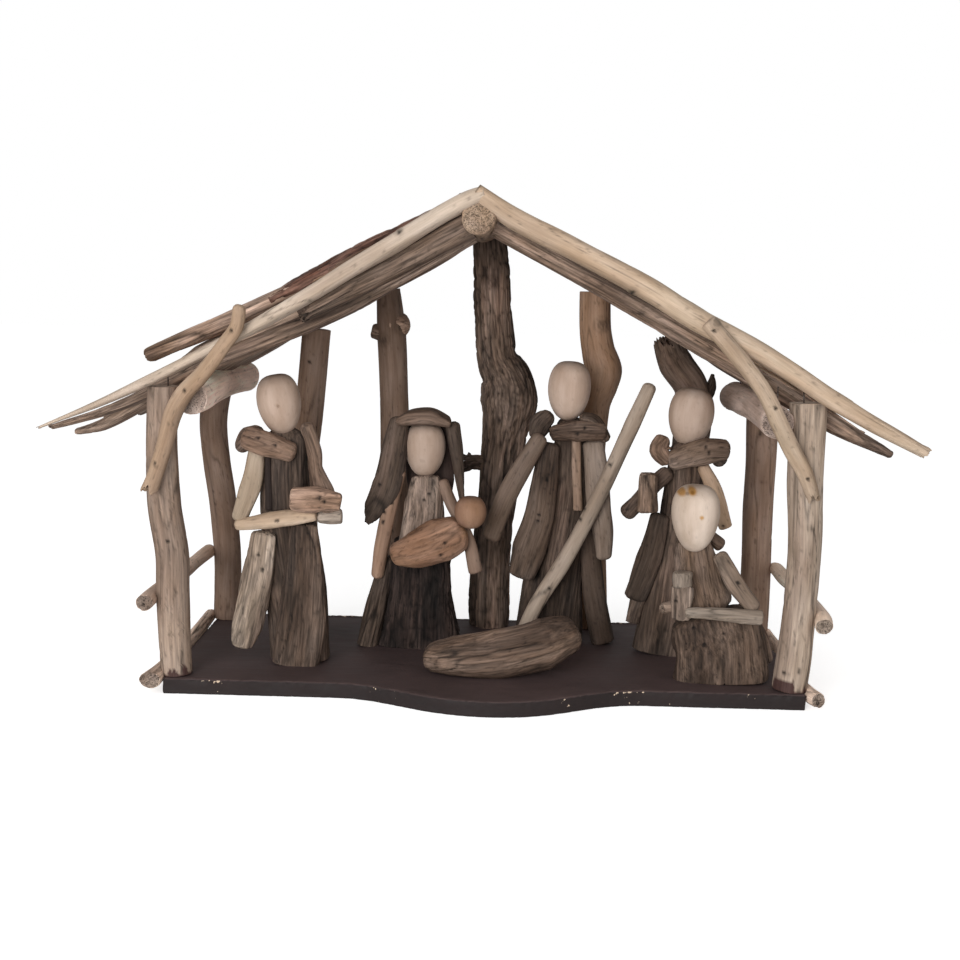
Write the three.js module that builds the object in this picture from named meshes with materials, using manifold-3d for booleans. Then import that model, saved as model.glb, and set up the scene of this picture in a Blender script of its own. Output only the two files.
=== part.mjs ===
// Driftwood nativity house: a stable of beach-worn branches on a painted board, with five stick figures.
// Millimetres, +Z up, the open front faces -Y. The origin is under the middle of the board.
import * as THREE from "three";
import { mergeVertices } from "three/addons/utils/BufferGeometryUtils.js";
import Module from "manifold-3d";

const wasm = await Module();
wasm.setup();

// Board
const BOARD_LENGTH = 360;
const BOARD_DEPTH = 160;
const BOARD_THICKNESS = 9;
const BULGE_DEPTH = 29;
const BULGE_LEFT = -0.47;
const BULGE_MIDDLE = 0.03;
const BULGE_RIGHT = 0.5;

// House frame, with heights taken from the top of the board
const POST_RADIUS = 9.4;
const BACK_POST_RADIUS = 10;
const POST_INSET = 6;
const ROW_INSET = 11;
const RAIL_HEIGHT = 43;
const RAIL_RADIUS = 5;
const RAIL_HALF_HEIGHT = 4.6;
const KERB_RADIUS = 4;
const RIDGE_HEIGHT = 255.5;
const RIDGE_RADIUS = 9.5;
const RIDGE_LIFT = 2.4;
const RIDGE_OFFSET = -7.5;
const PURLIN_RADIUS = 9.3;
const PURLIN_NOTCH = 1.5;
const ROOF_PITCH = THREE.MathUtils.degToRad(29);
const RAFTER_LENGTH = 270;
const RAFTER_HALF = 5;
const PLANK_LAP = 1.2;
const EDGE_WANDER = 3;

// Glued and nailed pieces are drawn this far apart
const GLUE_LINE = 0.3;

const FRONT = new THREE.Vector3(0, -1, 0);
const UP = new THREE.Vector3(0, 0, 1);
const LEFT = -1;
const RIGHT = 1;
const POST_LINE = BOARD_LENGTH / 2 - POST_INSET;
const FRONT_ROW = -(BOARD_DEPTH / 2 - ROW_INSET);
const REAR_ROW = BOARD_DEPTH / 2 - ROW_INSET;
const HOUSE_FRONT = -(BOARD_DEPTH / 2 + 4);
const HOUSE_BACK = BOARD_DEPTH / 2 + 2;
const POST_TOP_LEAN = { [LEFT]: 6, [RIGHT]: 0.8 };
const REAR_PLANK_LIFTS = { [LEFT]: [2, 5, 2, 5], [RIGHT]: [4.8, 7, 8, 9.2] };

// Wood colours
const woods = {
  paintedBoard: wood("#463738", 0.6),
  bleached: wood("#d6c5ad", 0.85),
  sand: wood("#b9a084", 0.85),
  greyBrown: wood("#85776b", 0.9),
  umber: wood("#5f5047", 0.9),
  charred: wood("#352c29", 0.92),
  russet: wood("#8a604d", 0.9),
  biscuit: wood("#a98463", 0.85),
  cream: wood("#c8b6a5", 0.8),
};

function wood(color, roughness) {
  return new THREE.MeshStandardMaterial({ color, roughness, metalness: 0 });
}

// How an end is finished: pairs of how far in from the tip a ring sits, in half widths, and how wide it is
const SAWN = [[0, 1]];
const WORN = [[0.12, 0.6], [0.7, 1]];
const BLUNT = [[0.05, 0.82], [0.35, 1]];

// Shared maths

function asList(value, count) {
  return Array.isArray(value) ? value : new Array(count).fill(value);
}

function sampleAt(list, fraction) {
  const place = Math.min(fraction * (list.length - 1), list.length - 1.000001);
  const index = Math.floor(place);
  return THREE.MathUtils.lerp(list[index], list[index + 1], place - index);
}

function toSolid(geometry) {
  geometry.deleteAttribute("normal");
  geometry.deleteAttribute("uv");
  const merged = mergeVertices(geometry, 1e-4);
  const vertProperties = new Float32Array(merged.attributes.position.array);
  const triVerts = new Uint32Array(merged.index.array);
  return new wasm.Manifold(new wasm.Mesh({ numProp: 3, vertProperties, triVerts }));
}

function toGeometry(solid) {
  const mesh = solid.getMesh();
  const geometry = new THREE.BufferGeometry();
  geometry.setAttribute("position", new THREE.BufferAttribute(mesh.vertProperties, 3));
  geometry.setIndex(new THREE.BufferAttribute(mesh.triVerts, 1));
  return geometry;
}

// Where the rings of a branch sit along it, as fractions of its length with their widths
function ringStations(length, halves, ends, rings) {
  const start = ends[0].map(([inset, scale]) => ({ u: (inset * halves[0]) / length, scale }));
  const end = ends[1].map(([inset, scale]) => ({ u: 1 - (inset * halves[1]) / length, scale }));
  const from = start.at(-1).u;
  const to = end.at(-1).u;
  const middle = [];
  for (let ring = 1; ring < rings; ring += 1) {
    middle.push({ u: THREE.MathUtils.lerp(from, to, ring / rings), scale: 1 });
  }
  return [...start, ...middle, ...end.reverse()];
}

// One weathered branch: a squared-off round section swept along its bent centre line.
// across is the half width seen from the front, deep the half width front to back.
function sweepBranch(branch, grow) {
  const { path, across, deep = across, power = 2, sides = 8, rings = 4 } = branch;
  const { ends = [WORN, WORN], seed = 1, gnarl = 0.04, facing = FRONT } = branch;
  const points = path.map((point) => new THREE.Vector3(...point));
  const last = points.length - 1;
  const lead = points[0].clone().sub(points[1]).setLength(grow);
  const tail = points[last].clone().sub(points[last - 1]).setLength(grow);
  points[0].add(lead);
  points[last].add(tail);
  const curve = new THREE.CatmullRomCurve3(points, false, "centripetal");
  const acrossList = asList(across, points.length);
  const deepList = asList(deep, points.length);
  const tips = [Math.min(acrossList[0], deepList[0]), Math.min(acrossList[last], deepList[last])];
  const stations = ringStations(curve.getLength(), tips, ends, rings);

  const geometry = new THREE.CylinderGeometry(1, 1, 1, sides, stations.length - 1);
  const position = geometry.attributes.position;
  for (let index = 0; index < position.count; index += 1) {
    const row = Math.round((0.5 + position.getY(index)) * (stations.length - 1));
    const isTip = Math.hypot(position.getX(index), position.getZ(index)) < 0.5;
    const station = stations[row];
    const u = isTip ? Math.round(station.u) : station.u;
    const angle = Math.atan2(position.getX(index), position.getZ(index));
    const along = curve.getTangentAt(u);
    const forward = facing.clone().addScaledVector(along, -facing.dot(along)).normalize();
    const sideways = along.clone().cross(forward);
    const fraction = curve.getUtoTmapping(u);
    const square = (Math.abs(Math.sin(angle)) ** power + Math.abs(Math.cos(angle)) ** power) ** (-1 / power);
    const swell = Math.sin(2 * angle + seed * 2.3 + u * 5) + Math.sin(3 * angle + seed * 1.1 - u * 8);
    const radius = isTip ? 0 : square * station.scale * (1 + gnarl * swell);
    const point = curve.getPointAt(u);
    const halfAcross = sampleAt(acrossList, fraction) + grow;
    const halfDeep = sampleAt(deepList, fraction) + grow;
    point.addScaledVector(sideways, Math.sin(angle) * radius * halfAcross);
    point.addScaledVector(forward, Math.cos(angle) * radius * halfDeep);
    position.setXYZ(index, point.x, point.y, point.z);
  }
  return toSolid(geometry);
}

// One sea-worn pebble of wood: an egg on its own axis, narrower at its lower end
function turnEgg(egg, grow) {
  const { centre, radius, height, taper = 0.12, lean = 0, turns = 12, steps = 7 } = egg;
  const profile = [];
  for (let step = 0; step <= steps; step += 1) {
    const angle = (Math.PI * step) / steps;
    const reach = step === 0 || step === steps ? 0 : (radius + grow) * Math.sin(angle) ** 0.85;
    const narrow = 1 - taper * (1 + Math.cos(angle));
    profile.push(new THREE.Vector2(reach * narrow, -(height + grow) * Math.cos(angle)));
  }
  const geometry = new THREE.LatheGeometry(profile, turns);
  geometry.rotateX(Math.PI / 2);
  geometry.rotateY(lean);
  geometry.translate(...centre);
  return toSolid(geometry);
}

// Fitting: each piece is coped to the pieces that went on before it

const fitted = [];

function boxesMeet(one, other) {
  return [0, 1, 2].every((axis) => one.min[axis] < other.max[axis] && other.min[axis] < one.max[axis]);
}

function largestPiece(solid) {
  const pieces = solid.decompose();
  return pieces.reduce((best, piece) => (piece.volume() > best.volume() ? piece : best));
}

function joinAll(shapes, grow) {
  return shapes.map((shape) => shape(grow)).reduce((whole, piece) => whole.add(piece));
}

function fitPiece(group, name, material, shapes) {
  const grown = joinAll(shapes, GLUE_LINE);
  let solid = joinAll(shapes, 0);
  for (const neighbour of fitted) {
    if (boxesMeet(solid.boundingBox(), neighbour.boundingBox())) {
      solid = solid.subtract(neighbour);
    }
  }
  fitted.push(grown);
  const geometry = toGeometry(largestPiece(solid));
  geometry.computeBoundingBox();
  const anchor = geometry.boundingBox.getCenter(new THREE.Vector3());
  geometry.translate(-anchor.x, -anchor.y, -anchor.z);
  geometry.computeVertexNormals();
  const mesh = new THREE.Mesh(geometry, material);
  mesh.name = name;
  mesh.position.copy(anchor);
  group.add(mesh);
  return mesh;
}

function branch(options) {
  return (grow) => sweepBranch(options, grow);
}

function egg(options) {
  return (grow) => turnEgg(options, grow);
}

// Board with its swollen front edge

function boardOutline(grow) {
  const half = BOARD_LENGTH / 2 + grow;
  const front = -BOARD_DEPTH / 2 - grow;
  const peak = front - BULGE_DEPTH;
  const left = (BULGE_LEFT * BOARD_LENGTH) / 2;
  const middle = (BULGE_MIDDLE * BOARD_LENGTH) / 2;
  const right = (BULGE_RIGHT * BOARD_LENGTH) / 2;
  const shape = new THREE.Shape();
  shape.moveTo(-half, -front);
  shape.lineTo(-half, front);
  shape.lineTo(left, front);
  shape.bezierCurveTo(left * 0.6, front, left * 0.45, peak, middle, peak);
  shape.bezierCurveTo(right * 0.51, peak, right * 0.62, front, right, front);
  shape.lineTo(half, front);
  shape.lineTo(half, -front);
  return shape;
}

function boardSlab(grow) {
  const options = { depth: BOARD_THICKNESS + 2 * grow, bevelEnabled: false, curveSegments: 8 };
  const geometry = new THREE.ExtrudeGeometry(boardOutline(grow), options);
  geometry.translate(0, 0, -BOARD_THICKNESS - grow);
  return toSolid(geometry);
}

// House frame

// A point on a roof slope: run down the slope from the ridge log, lift square to the slope
function onSlope(side, run, lift, y) {
  const x = RIDGE_OFFSET + side * (run * Math.cos(ROOF_PITCH) + lift * Math.sin(ROOF_PITCH));
  const z = RIDGE_HEIGHT - run * Math.sin(ROOF_PITCH) + lift * Math.cos(ROOF_PITCH);
  return [x, y, z];
}

// Height of the underside of the low roof planks over a place on the board
function roofUnderside(x) {
  const centreLine = RIDGE_HEIGHT - Math.abs(x - RIDGE_OFFSET) * Math.tan(ROOF_PITCH);
  return centreLine - RAFTER_HALF / Math.cos(ROOF_PITCH);
}

// How far down the slope a purlin lies when it is let into the inner side of the post tops
function purlinRun(side, lift) {
  const inside = POST_LINE + POST_TOP_LEAN[side] - POST_RADIUS - PURLIN_RADIUS + PURLIN_NOTCH;
  return (inside - side * RIDGE_OFFSET - lift * Math.sin(ROOF_PITCH)) / Math.cos(ROOF_PITCH);
}

function addRidge(group) {
  const path = [HOUSE_FRONT, 0, HOUSE_BACK].map((y) => [RIDGE_OFFSET, y, RIDGE_HEIGHT + RIDGE_LIFT]);
  const ends = [SAWN, WORN];
  fitPiece(group, "ridge_log", woods.sand, [
    branch({ path, across: RIDGE_RADIUS, sides: 12, rings: 3, gnarl: 0.015, facing: UP, ends, seed: 3 }),
  ]);
}

function addPurlin(group, name, side, bow, dip) {
  const lift = -PURLIN_RADIUS + 1;
  const run = purlinRun(side, lift);
  const path = [
    onSlope(side, run + bow / 2, lift - dip, HOUSE_FRONT + 6),
    onSlope(side, run - bow / 2, lift, 0),
    onSlope(side, run - bow, lift - 1, REAR_ROW + 3),
  ];
  fitPiece(group, name, woods.greyBrown, [
    branch({ path, across: PURLIN_RADIUS, sides: 12, gnarl: 0.015, facing: UP, ends: [BLUNT, WORN] }),
  ]);
}

// A roof stick or plank from its ridge end to its eaves end, given as [share of the rafter, lift] pairs
function rafter({ side, y, line, half, deep, seed, ends, rings, sides = 10 }) {
  const path = line.map(([share, lift]) => onSlope(side, share * RAFTER_LENGTH, lift, y));
  return branch({ path, across: half, deep, seed, power: 2.6, ends, rings, sides, gnarl: 0.025 });
}

function addLeftRoof(group) {
  fitPiece(group, "roof_left_front_stick", woods.bleached, [
    rafter({
      side: LEFT, y: FRONT_ROW - 10, deep: [8, 8, 8, 8, 7, 5, 3], seed: 2, rings: 8, sides: 9,
      line: [[-0.037, 11.6], [0, 12.8], [0.2, 10.8], [0.36, 8.8], [0.52, 7.6], [0.8, 10], [0.99, 14.8]],
      half: [4.4, 5, 5, 4.4, 3.7, 2.6, 0.8], ends: [BLUNT, WORN],
    }),
  ]);
  fitPiece(group, "roof_left_short_plank", woods.greyBrown, [
    rafter({
      side: LEFT, y: FRONT_ROW - 0.5, deep: 8.5, seed: 5, rings: 3, sides: 8,
      line: [[0.02, 0.4], [0.2, 0.9], [0.41, 2.2]], half: [6.2, 6.6, 5.2], ends: [SAWN, BLUNT],
    }),
  ]);
  fitPiece(group, "roof_left_long_plank", woods.greyBrown, [
    rafter({
      side: LEFT, y: FRONT_ROW + 20, deep: [11, 11, 11, 9, 7, 5], seed: 7, rings: 8,
      line: [[0.02, -3], [0.21, -4.5], [0.39, -3.6], [0.66, 3.6], [0.85, 6.2], [1.003, 14]],
      half: [5.5, 5.5, 5.5, 4.6, 3.4, 1.6], ends: [SAWN, WORN],
    }),
  ]);
  fitPiece(group, "roof_left_forked_plank", woods.umber, [
    rafter({
      side: LEFT, y: FRONT_ROW + 44, deep: [12, 12, 12, 12, 9, 8, 6], seed: 9, rings: 7,
      line: [[0.03, -0.5], [0.4, 3.4], [0.54, 6.4], [0.66, 8.3], [0.82, 3], [0.93, 2.4], [0.985, 6.2]],
      half: [6, 7, 8, 8.2, 4.2, 3.4, 2], ends: [SAWN, WORN],
    }),
  ]);
  fitPiece(group, "roof_left_red_plank", woods.russet, [
    rafter({
      side: LEFT, y: FRONT_ROW + 33, deep: 13, seed: 11, rings: 5,
      line: [[-0.01, 14.8], [0.28, 17.4], [0.4, 17.3], [0.52, 18.8], [0.64, 21.3], [0.757, 24.4]],
      half: [4.9, 5, 5.1, 5.2, 5.1, 4.4], ends: [SAWN, WORN],
    }),
  ]);
  addRearPlanks(group, "roof_left_rear_planks", LEFT, FRONT_ROW + 57, woods.greyBrown);
}

function addRightRoof(group) {
  fitPiece(group, "roof_right_front_stick", woods.bleached, [
    rafter({
      side: RIGHT, y: FRONT_ROW - 9, deep: [9, 9, 9, 9, 9, 9, 8, 6], seed: 4, rings: 9, sides: 9,
      line: [[-0.035, 13], [0.06, 11.4], [0.2, 13.6], [0.36, 15.2], [0.48, 14.2], [0.62, 16.2],
        [0.8, 13.7], [1.015, 15.2]],
      half: [4.8, 6, 6, 6.4, 6.2, 5.6, 5.3, 3.4], ends: [SAWN, BLUNT],
    }),
  ]);
  fitPiece(group, "roof_right_long_plank", woods.greyBrown, [
    rafter({
      side: RIGHT, y: FRONT_ROW + 21, deep: [11, 11, 11, 10, 6], seed: 6, rings: 7,
      line: [[0.03, 2.4], [0.33, 4.2], [0.6, 4.4], [0.85, 3.9], [0.985, 5.6]],
      half: [5.5, 5.6, 5.6, 5.2, 2.4], ends: [SAWN, WORN],
    }),
  ]);
  fitPiece(group, "roof_right_low_plank", woods.umber, [
    rafter({
      side: RIGHT, y: FRONT_ROW + 44, deep: 11.5, seed: 8, rings: 5,
      line: [[0.03, 4.5], [0.4, 8.6], [0.62, 8.8], [0.93, 6.4]], half: [6, 7.2, 7, 3.4], ends: [SAWN, WORN],
    }),
  ]);
  fitPiece(group, "roof_right_top_plank", woods.russet, [
    rafter({
      side: RIGHT, y: FRONT_ROW + 33, deep: 12.5, seed: 10, rings: 5,
      line: [[-0.01, 13], [0.38, 17.2], [0.62, 17.4], [0.87, 16.6]],
      half: [4.4, 5.2, 5.3, 4.2], ends: [SAWN, WORN],
    }),
  ]);
  addRearPlanks(group, "roof_right_rear_planks", RIGHT, FRONT_ROW + 57, woods.greyBrown);
}

// Uneven planks, one for each lift, that lie edge to edge from the given line to the back of the roof
function addRearPlanks(group, name, side, firstEdge, material) {
  const lifts = REAR_PLANK_LIFTS[side];
  const count = lifts.length;
  const pitch = (HOUSE_BACK - firstEdge) / count;
  const wander = (index) => (index % count ? EDGE_WANDER * Math.sin(index * 2.3 + side) : 0);
  const edgeAt = (index) => firstEdge + pitch * index + wander(index);
  const planks = [];
  for (let index = 0; index < count; index += 1) {
    const lift = lifts[index];
    const reach = 0.92 + 0.05 * Math.sin(index * 2.1 + side);
    const near = edgeAt(index);
    const far = edgeAt(index + 1);
    planks.push(rafter({
      side, y: (near + far) / 2, deep: (far - near) / 2 + PLANK_LAP, seed: 20 + index + side,
      line: [[0.03, lift], [0.4, lift + 1.5], [0.67, lift - 1], [reach, lift + 1]],
      half: [RAFTER_HALF + 1, RAFTER_HALF + 1, RAFTER_HALF, 3.4], ends: [SAWN, SAWN], rings: 2, sides: 7,
    }));
  }
  fitPiece(group, name, material, planks);
}

// A side post that follows its own bends; each bend is [lean outwards, share of its height, radius]
function addSidePost(group, name, side, row, top, material, bends, seed) {
  const path = bends.map(([lean, share]) => [side * (POST_LINE + lean), row, share * top]);
  const across = bends.map((bend) => bend[2] * POST_RADIUS);
  fitPiece(group, name, material, [
    branch({ path, across, seed, sides: 10, rings: 6, gnarl: 0.02, ends: [SAWN, SAWN] }),
  ]);
}

function addSidePosts(group) {
  const eavesLeft = roofUnderside(-POST_LINE);
  const eavesRight = roofUnderside(POST_LINE);
  addSidePost(group, "post_front_left", LEFT, FRONT_ROW, eavesLeft + 6, woods.sand, [
    [0.4, 0, 1], [1.6, 0.14, 1], [2.2, 0.3, 1], [2.2, 0.42, 1], [6.4, 0.61, 0.99], [7.7, 0.78, 0.93],
    [6.8, 1, 0.93],
  ], 3);
  addSidePost(group, "post_front_right", RIGHT, FRONT_ROW, eavesRight + 13, woods.sand, [
    [-1.5, 0, 1.05], [0.6, 0.15, 1.05], [3.1, 0.48, 1], [1.6, 0.75, 1.04], [0.8, 1, 1.1],
  ], 6);
  addSidePost(group, "post_rear_left", LEFT, REAR_ROW, eavesLeft + 4, woods.umber, [
    [-0.6, 0, 0.95], [-1.4, 0.24, 0.97], [-0.8, 0.33, 0.98], [1.9, 0.49, 0.97], [5.7, 0.65, 0.97],
    [8, 0.82, 0.96], [3, 1, 0.98],
  ], 8);
  addSidePost(group, "post_rear_right", RIGHT, REAR_ROW, eavesRight + 5, woods.umber, [
    [0.5, 0, 1.03], [0.7, 0.22, 1.03], [0.6, 0.5, 1.06], [0.9, 0.78, 1.08], [0, 1, 1.1],
  ], 5);
}

// A back post under the roof; each bend is [x, share of its height, radius]
function backPost(bends, top, seed, gnarl) {
  const path = bends.map(([x, share]) => [x, REAR_ROW, share * top]);
  const across = bends.map((bend) => bend[2] * BACK_POST_RADIUS);
  return branch({ path, across, seed, sides: 10, rings: 7, gnarl, ends: [SAWN, SAWN] });
}

function addBackPosts(group) {
  fitPiece(group, "post_back_far_left", woods.umber, [
    backPost([[-123.4, 0, 1], [-123, 0.37, 1], [-122, 0.6, 0.98], [-119.8, 0.7, 0.95], [-114.4, 1, 0.94]],
      roofUnderside(-115) + 2, 2, 0.02),
  ]);
  fitPiece(group, "post_back_left", woods.umber, [
    backPost([[-61.5, 0, 0.97], [-63.1, 0.59, 0.94], [-64, 0.7, 0.94], [-66.5, 0.88, 0.97], [-68.6, 1, 0.8]],
      roofUnderside(-68.6) + 3, 4, 0.03),
    branch({ path: [[-66, REAR_ROW, 190], [-79, REAR_ROW - 1, 192]], across: [5, 2.4], sides: 6, rings: 1 }),
    branch({
      path: [[-66, REAR_ROW, 195], [-54, REAR_ROW - 1, 196]], across: [7.6, 4.4], sides: 6, rings: 1,
    }),
  ]);
  fitPiece(group, "post_back_middle", woods.charred, [
    backPost([[1.4, 0, 1.39], [1.3, 0.16, 1.39], [4.3, 0.33, 1.29], [8, 0.5, 1.46], [10.3, 0.59, 1.84],
      [8.4, 0.65, 1.62], [3, 0.7, 1.29], [-0.2, 0.8, 1.2], [-2.1, 0.92, 1.2], [-4, 1, 1.1]],
    RIDGE_HEIGHT - 4, 6, 0.035),
    branch({
      path: [[2, REAR_ROW, 103], [-8, REAR_ROW - 2, 108], [-21, REAR_ROW - 4, 107]], across: [6, 5, 8],
      deep: [6, 5, 6], sides: 8, rings: 2, ends: [SAWN, BLUNT], facing: UP,
    }),
  ]);
  fitPiece(group, "post_back_right", woods.russet, [
    backPost([[68.4, 0, 0.97], [68.4, 0.1, 0.97], [65.2, 0.54, 0.91], [66.3, 0.67, 1], [69.6, 0.73, 1.16],
      [70.8, 0.77, 1.26], [67.4, 0.83, 1.06], [65.2, 0.89, 1], [64.2, 1, 0.97]],
    roofUnderside(64.2) + 10, 8, 0.02),
  ]);
  fitPiece(group, "post_back_far_right", woods.charred, [
    backPost([[132.7, 0, 1.16], [132.7, 0.12, 1.16], [129, 0.6, 1.23], [130, 0.73, 1.29], [128.6, 0.83, 1.36],
      [116.6, 0.91, 1.18], [109.6, 1, 0.92]],
    roofUnderside(109.6) + 8, 10, 0.03),
    branch({ path: [[131, REAR_ROW, 156], [139.5, REAR_ROW, 167]], across: [5, 2.4], sides: 6, rings: 1 }),
  ]);
}

// Braces run in front of the roof stick, the purlin end and the post
function addBraces(group) {
  const faceOfRoof = FRONT_ROW - 22;
  const faceOfPost = FRONT_ROW - POST_RADIUS - 4.4;
  fitPiece(group, "brace_left", woods.sand, [
    branch({
      path: [[-133.7, faceOfRoof, 209.5], [-135.2, faceOfRoof, 197.5], [-142.1, faceOfRoof, 187.5],
        [-154.6, faceOfRoof + 1, 171.2], [-165.2, faceOfPost - 4, 159.9], [-171.3, faceOfPost - 3, 148.9],
        [-176.6, faceOfPost, 132], [-182, faceOfPost, 115.4], [-186.4, faceOfPost + 0.6, 104.5]],
      across: [3.8, 4.1, 4.2, 4.4, 4.9, 4.9, 4.9, 4.5, 4.9], deep: 4.6, sides: 8, rings: 9,
      ends: [WORN, BLUNT], seed: 12,
    }),
  ]);
  fitPiece(group, "brace_right", woods.sand, [
    branch({
      path: [[115.2, faceOfRoof, 205.8], [126.7, faceOfRoof, 193.3], [142, faceOfRoof, 175],
        [149.4, faceOfRoof + 1, 164.6], [156.7, faceOfPost - 4, 151], [164.5, faceOfPost - 0.4, 137.2],
        [172.8, faceOfPost, 123.7], [178.6, faceOfPost + 1, 108.5]],
      across: [5, 5, 4.7, 4.6, 4.7, 4.6, 4.3, 3.6], deep: 4.6, sides: 8, rings: 9,
      ends: [BLUNT, WORN], seed: 14,
    }),
  ]);
}

// A rail nailed along the outside of two side posts. Each offset is how far it lies out from the line of the
// posts and up from its height: at its front end, the front post, the middle and the back
function addRail(group, name, side, height, across, offsets, seed) {
  const rows = [HOUSE_FRONT, FRONT_ROW, 0, REAR_ROW + 4];
  const path = offsets.map(([out, up], index) => [side * (POST_LINE + out), rows[index], height + up]);
  fitPiece(group, name, woods.greyBrown, [
    branch({
      path, across, deep: RAIL_HALF_HEIGHT, rings: 5, ends: [BLUNT, WORN], seed, facing: UP, gnarl: 0.03,
    }),
  ]);
}

function addRails(group) {
  addRail(group, "rail_left", LEFT, RAIL_HEIGHT, RAIL_RADIUS, [
    [14.4, 0.8], [15.2, 0.8], [13.2, 1], [11, 1.6],
  ], 15);
  addRail(group, "rail_right", RIGHT, RAIL_HEIGHT, RAIL_RADIUS, [
    [13, -3], [15, -2], [14.4, -1.4], [13.8, -1],
  ], 16);
  addRail(group, "kerb_left", LEFT, 0, [KERB_RADIUS + 2.4, KERB_RADIUS + 1.4, KERB_RADIUS, KERB_RADIUS], [
    [12, 0], [10.8, 0], [9.6, 0], [10.6, 0.8],
  ], 17);
  addRail(group, "kerb_right", RIGHT, 0, KERB_RADIUS, [
    [12, -2], [9.4, -2.4], [9.6, -3], [10.4, -2.6],
  ], 18);
}

// Figures; every place is measured from the middle of the top of the board

function addLeftKing(group) {
  fitPiece(group, "king_left_head", woods.cream, [
    egg({ centre: [-122, -32, 151.3], radius: 14.3, height: 17.8, lean: -0.16 }),
  ]);
  fitPiece(group, "king_left_robe", woods.umber, [
    branch({
      path: [[-119, -29, 138], [-118, -30, 86], [-112, -29, 42], [-109.5, -27, 0]],
      across: [11, 15.5, 18.4, 18], deep: [10, 11, 12, 13], power: 2.6, ends: [WORN, SAWN], seed: 21,
    }),
    branch({
      path: [[-106.5, -42, 84], [-106.5, -43, 62], [-107.6, -43, 32], [-110, -39, 0]],
      across: [8, 12, 15.4, 13.6], deep: [4.5, 5, 5.5, 7], power: 3, ends: [BLUNT, SAWN], rings: 4, seed: 22,
    }),
    branch({
      path: [[-129.5, -42, 79], [-132.8, -43, 51], [-139.2, -43, 22], [-142.6, -42, 8.6]],
      across: [7.4, 9, 9.2, 6], deep: [4, 4.4, 4.4, 3.6], power: 3, rings: 4, seed: 23,
    }),
  ]);
  fitPiece(group, "king_left_collar", woods.greyBrown, [
    branch({
      path: [[-142, -41, 133.5], [-127.5, -43, 129.5], [-111, -41, 123.5]],
      across: [6, 7.4, 5.6], deep: [4.6, 6, 4.6], power: 2.6, rings: 3, seed: 24,
    }),
    branch({
      path: [[-130.5, -31, 134], [-139.4, -31, 131], [-146.8, -31, 124]],
      across: [7, 7.5, 3], deep: [9, 8, 5], power: 2.4, rings: 2, sides: 8, seed: 25,
    }),
  ]);
  fitPiece(group, "king_left_arm", woods.bleached, [
    branch({
      path: [[-133.6, -38, 127], [-137.4, -42, 102], [-143.4, -46, 84]],
      across: [4.8, 6.2, 4.8], deep: 4, power: 2.6, rings: 3, seed: 26,
    }),
    branch({
      path: [[-145.5, -47, 82.5], [-124, -49.5, 86], [-112, -50.5, 88], [-97.5, -52, 89.3]],
      across: [3.2, 5.2, 4.8, 2.2], deep: [3.2, 4.2, 4, 2.4], rings: 4, seed: 27, ends: [WORN, BLUNT],
    }),
  ]);
  fitPiece(group, "king_left_gift_arm", woods.greyBrown, [
    branch({
      path: [[-107, -30, 141], [-101.5, -31, 124], [-100, -34, 115], [-95, -41, 103], [-88, -49, 91]],
      across: [4.6, 4.8, 3.8, 5.6, 5.4], deep: [5, 5, 4, 5, 5], rings: 4, sides: 7, seed: 28,
    }),
    branch({
      path: [[-98.5, -47, 88.7], [-90, -47, 88.7], [-83, -47, 89]],
      across: [4.2, 4.6, 4.4], deep: 4.4, rings: 2, sides: 7, seed: 30,
    }),
  ]);
  fitPiece(group, "king_left_gift", woods.biscuit, [
    branch({
      path: [[-112.5, -51.5, 98.8], [-98, -52.5, 99.2], [-83, -51.5, 97.8]],
      across: [6.2, 7.4, 5], deep: [5, 6, 5], power: 3.4, rings: 3, ends: [BLUNT, BLUNT], seed: 29,
    }),
  ]);
}

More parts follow.
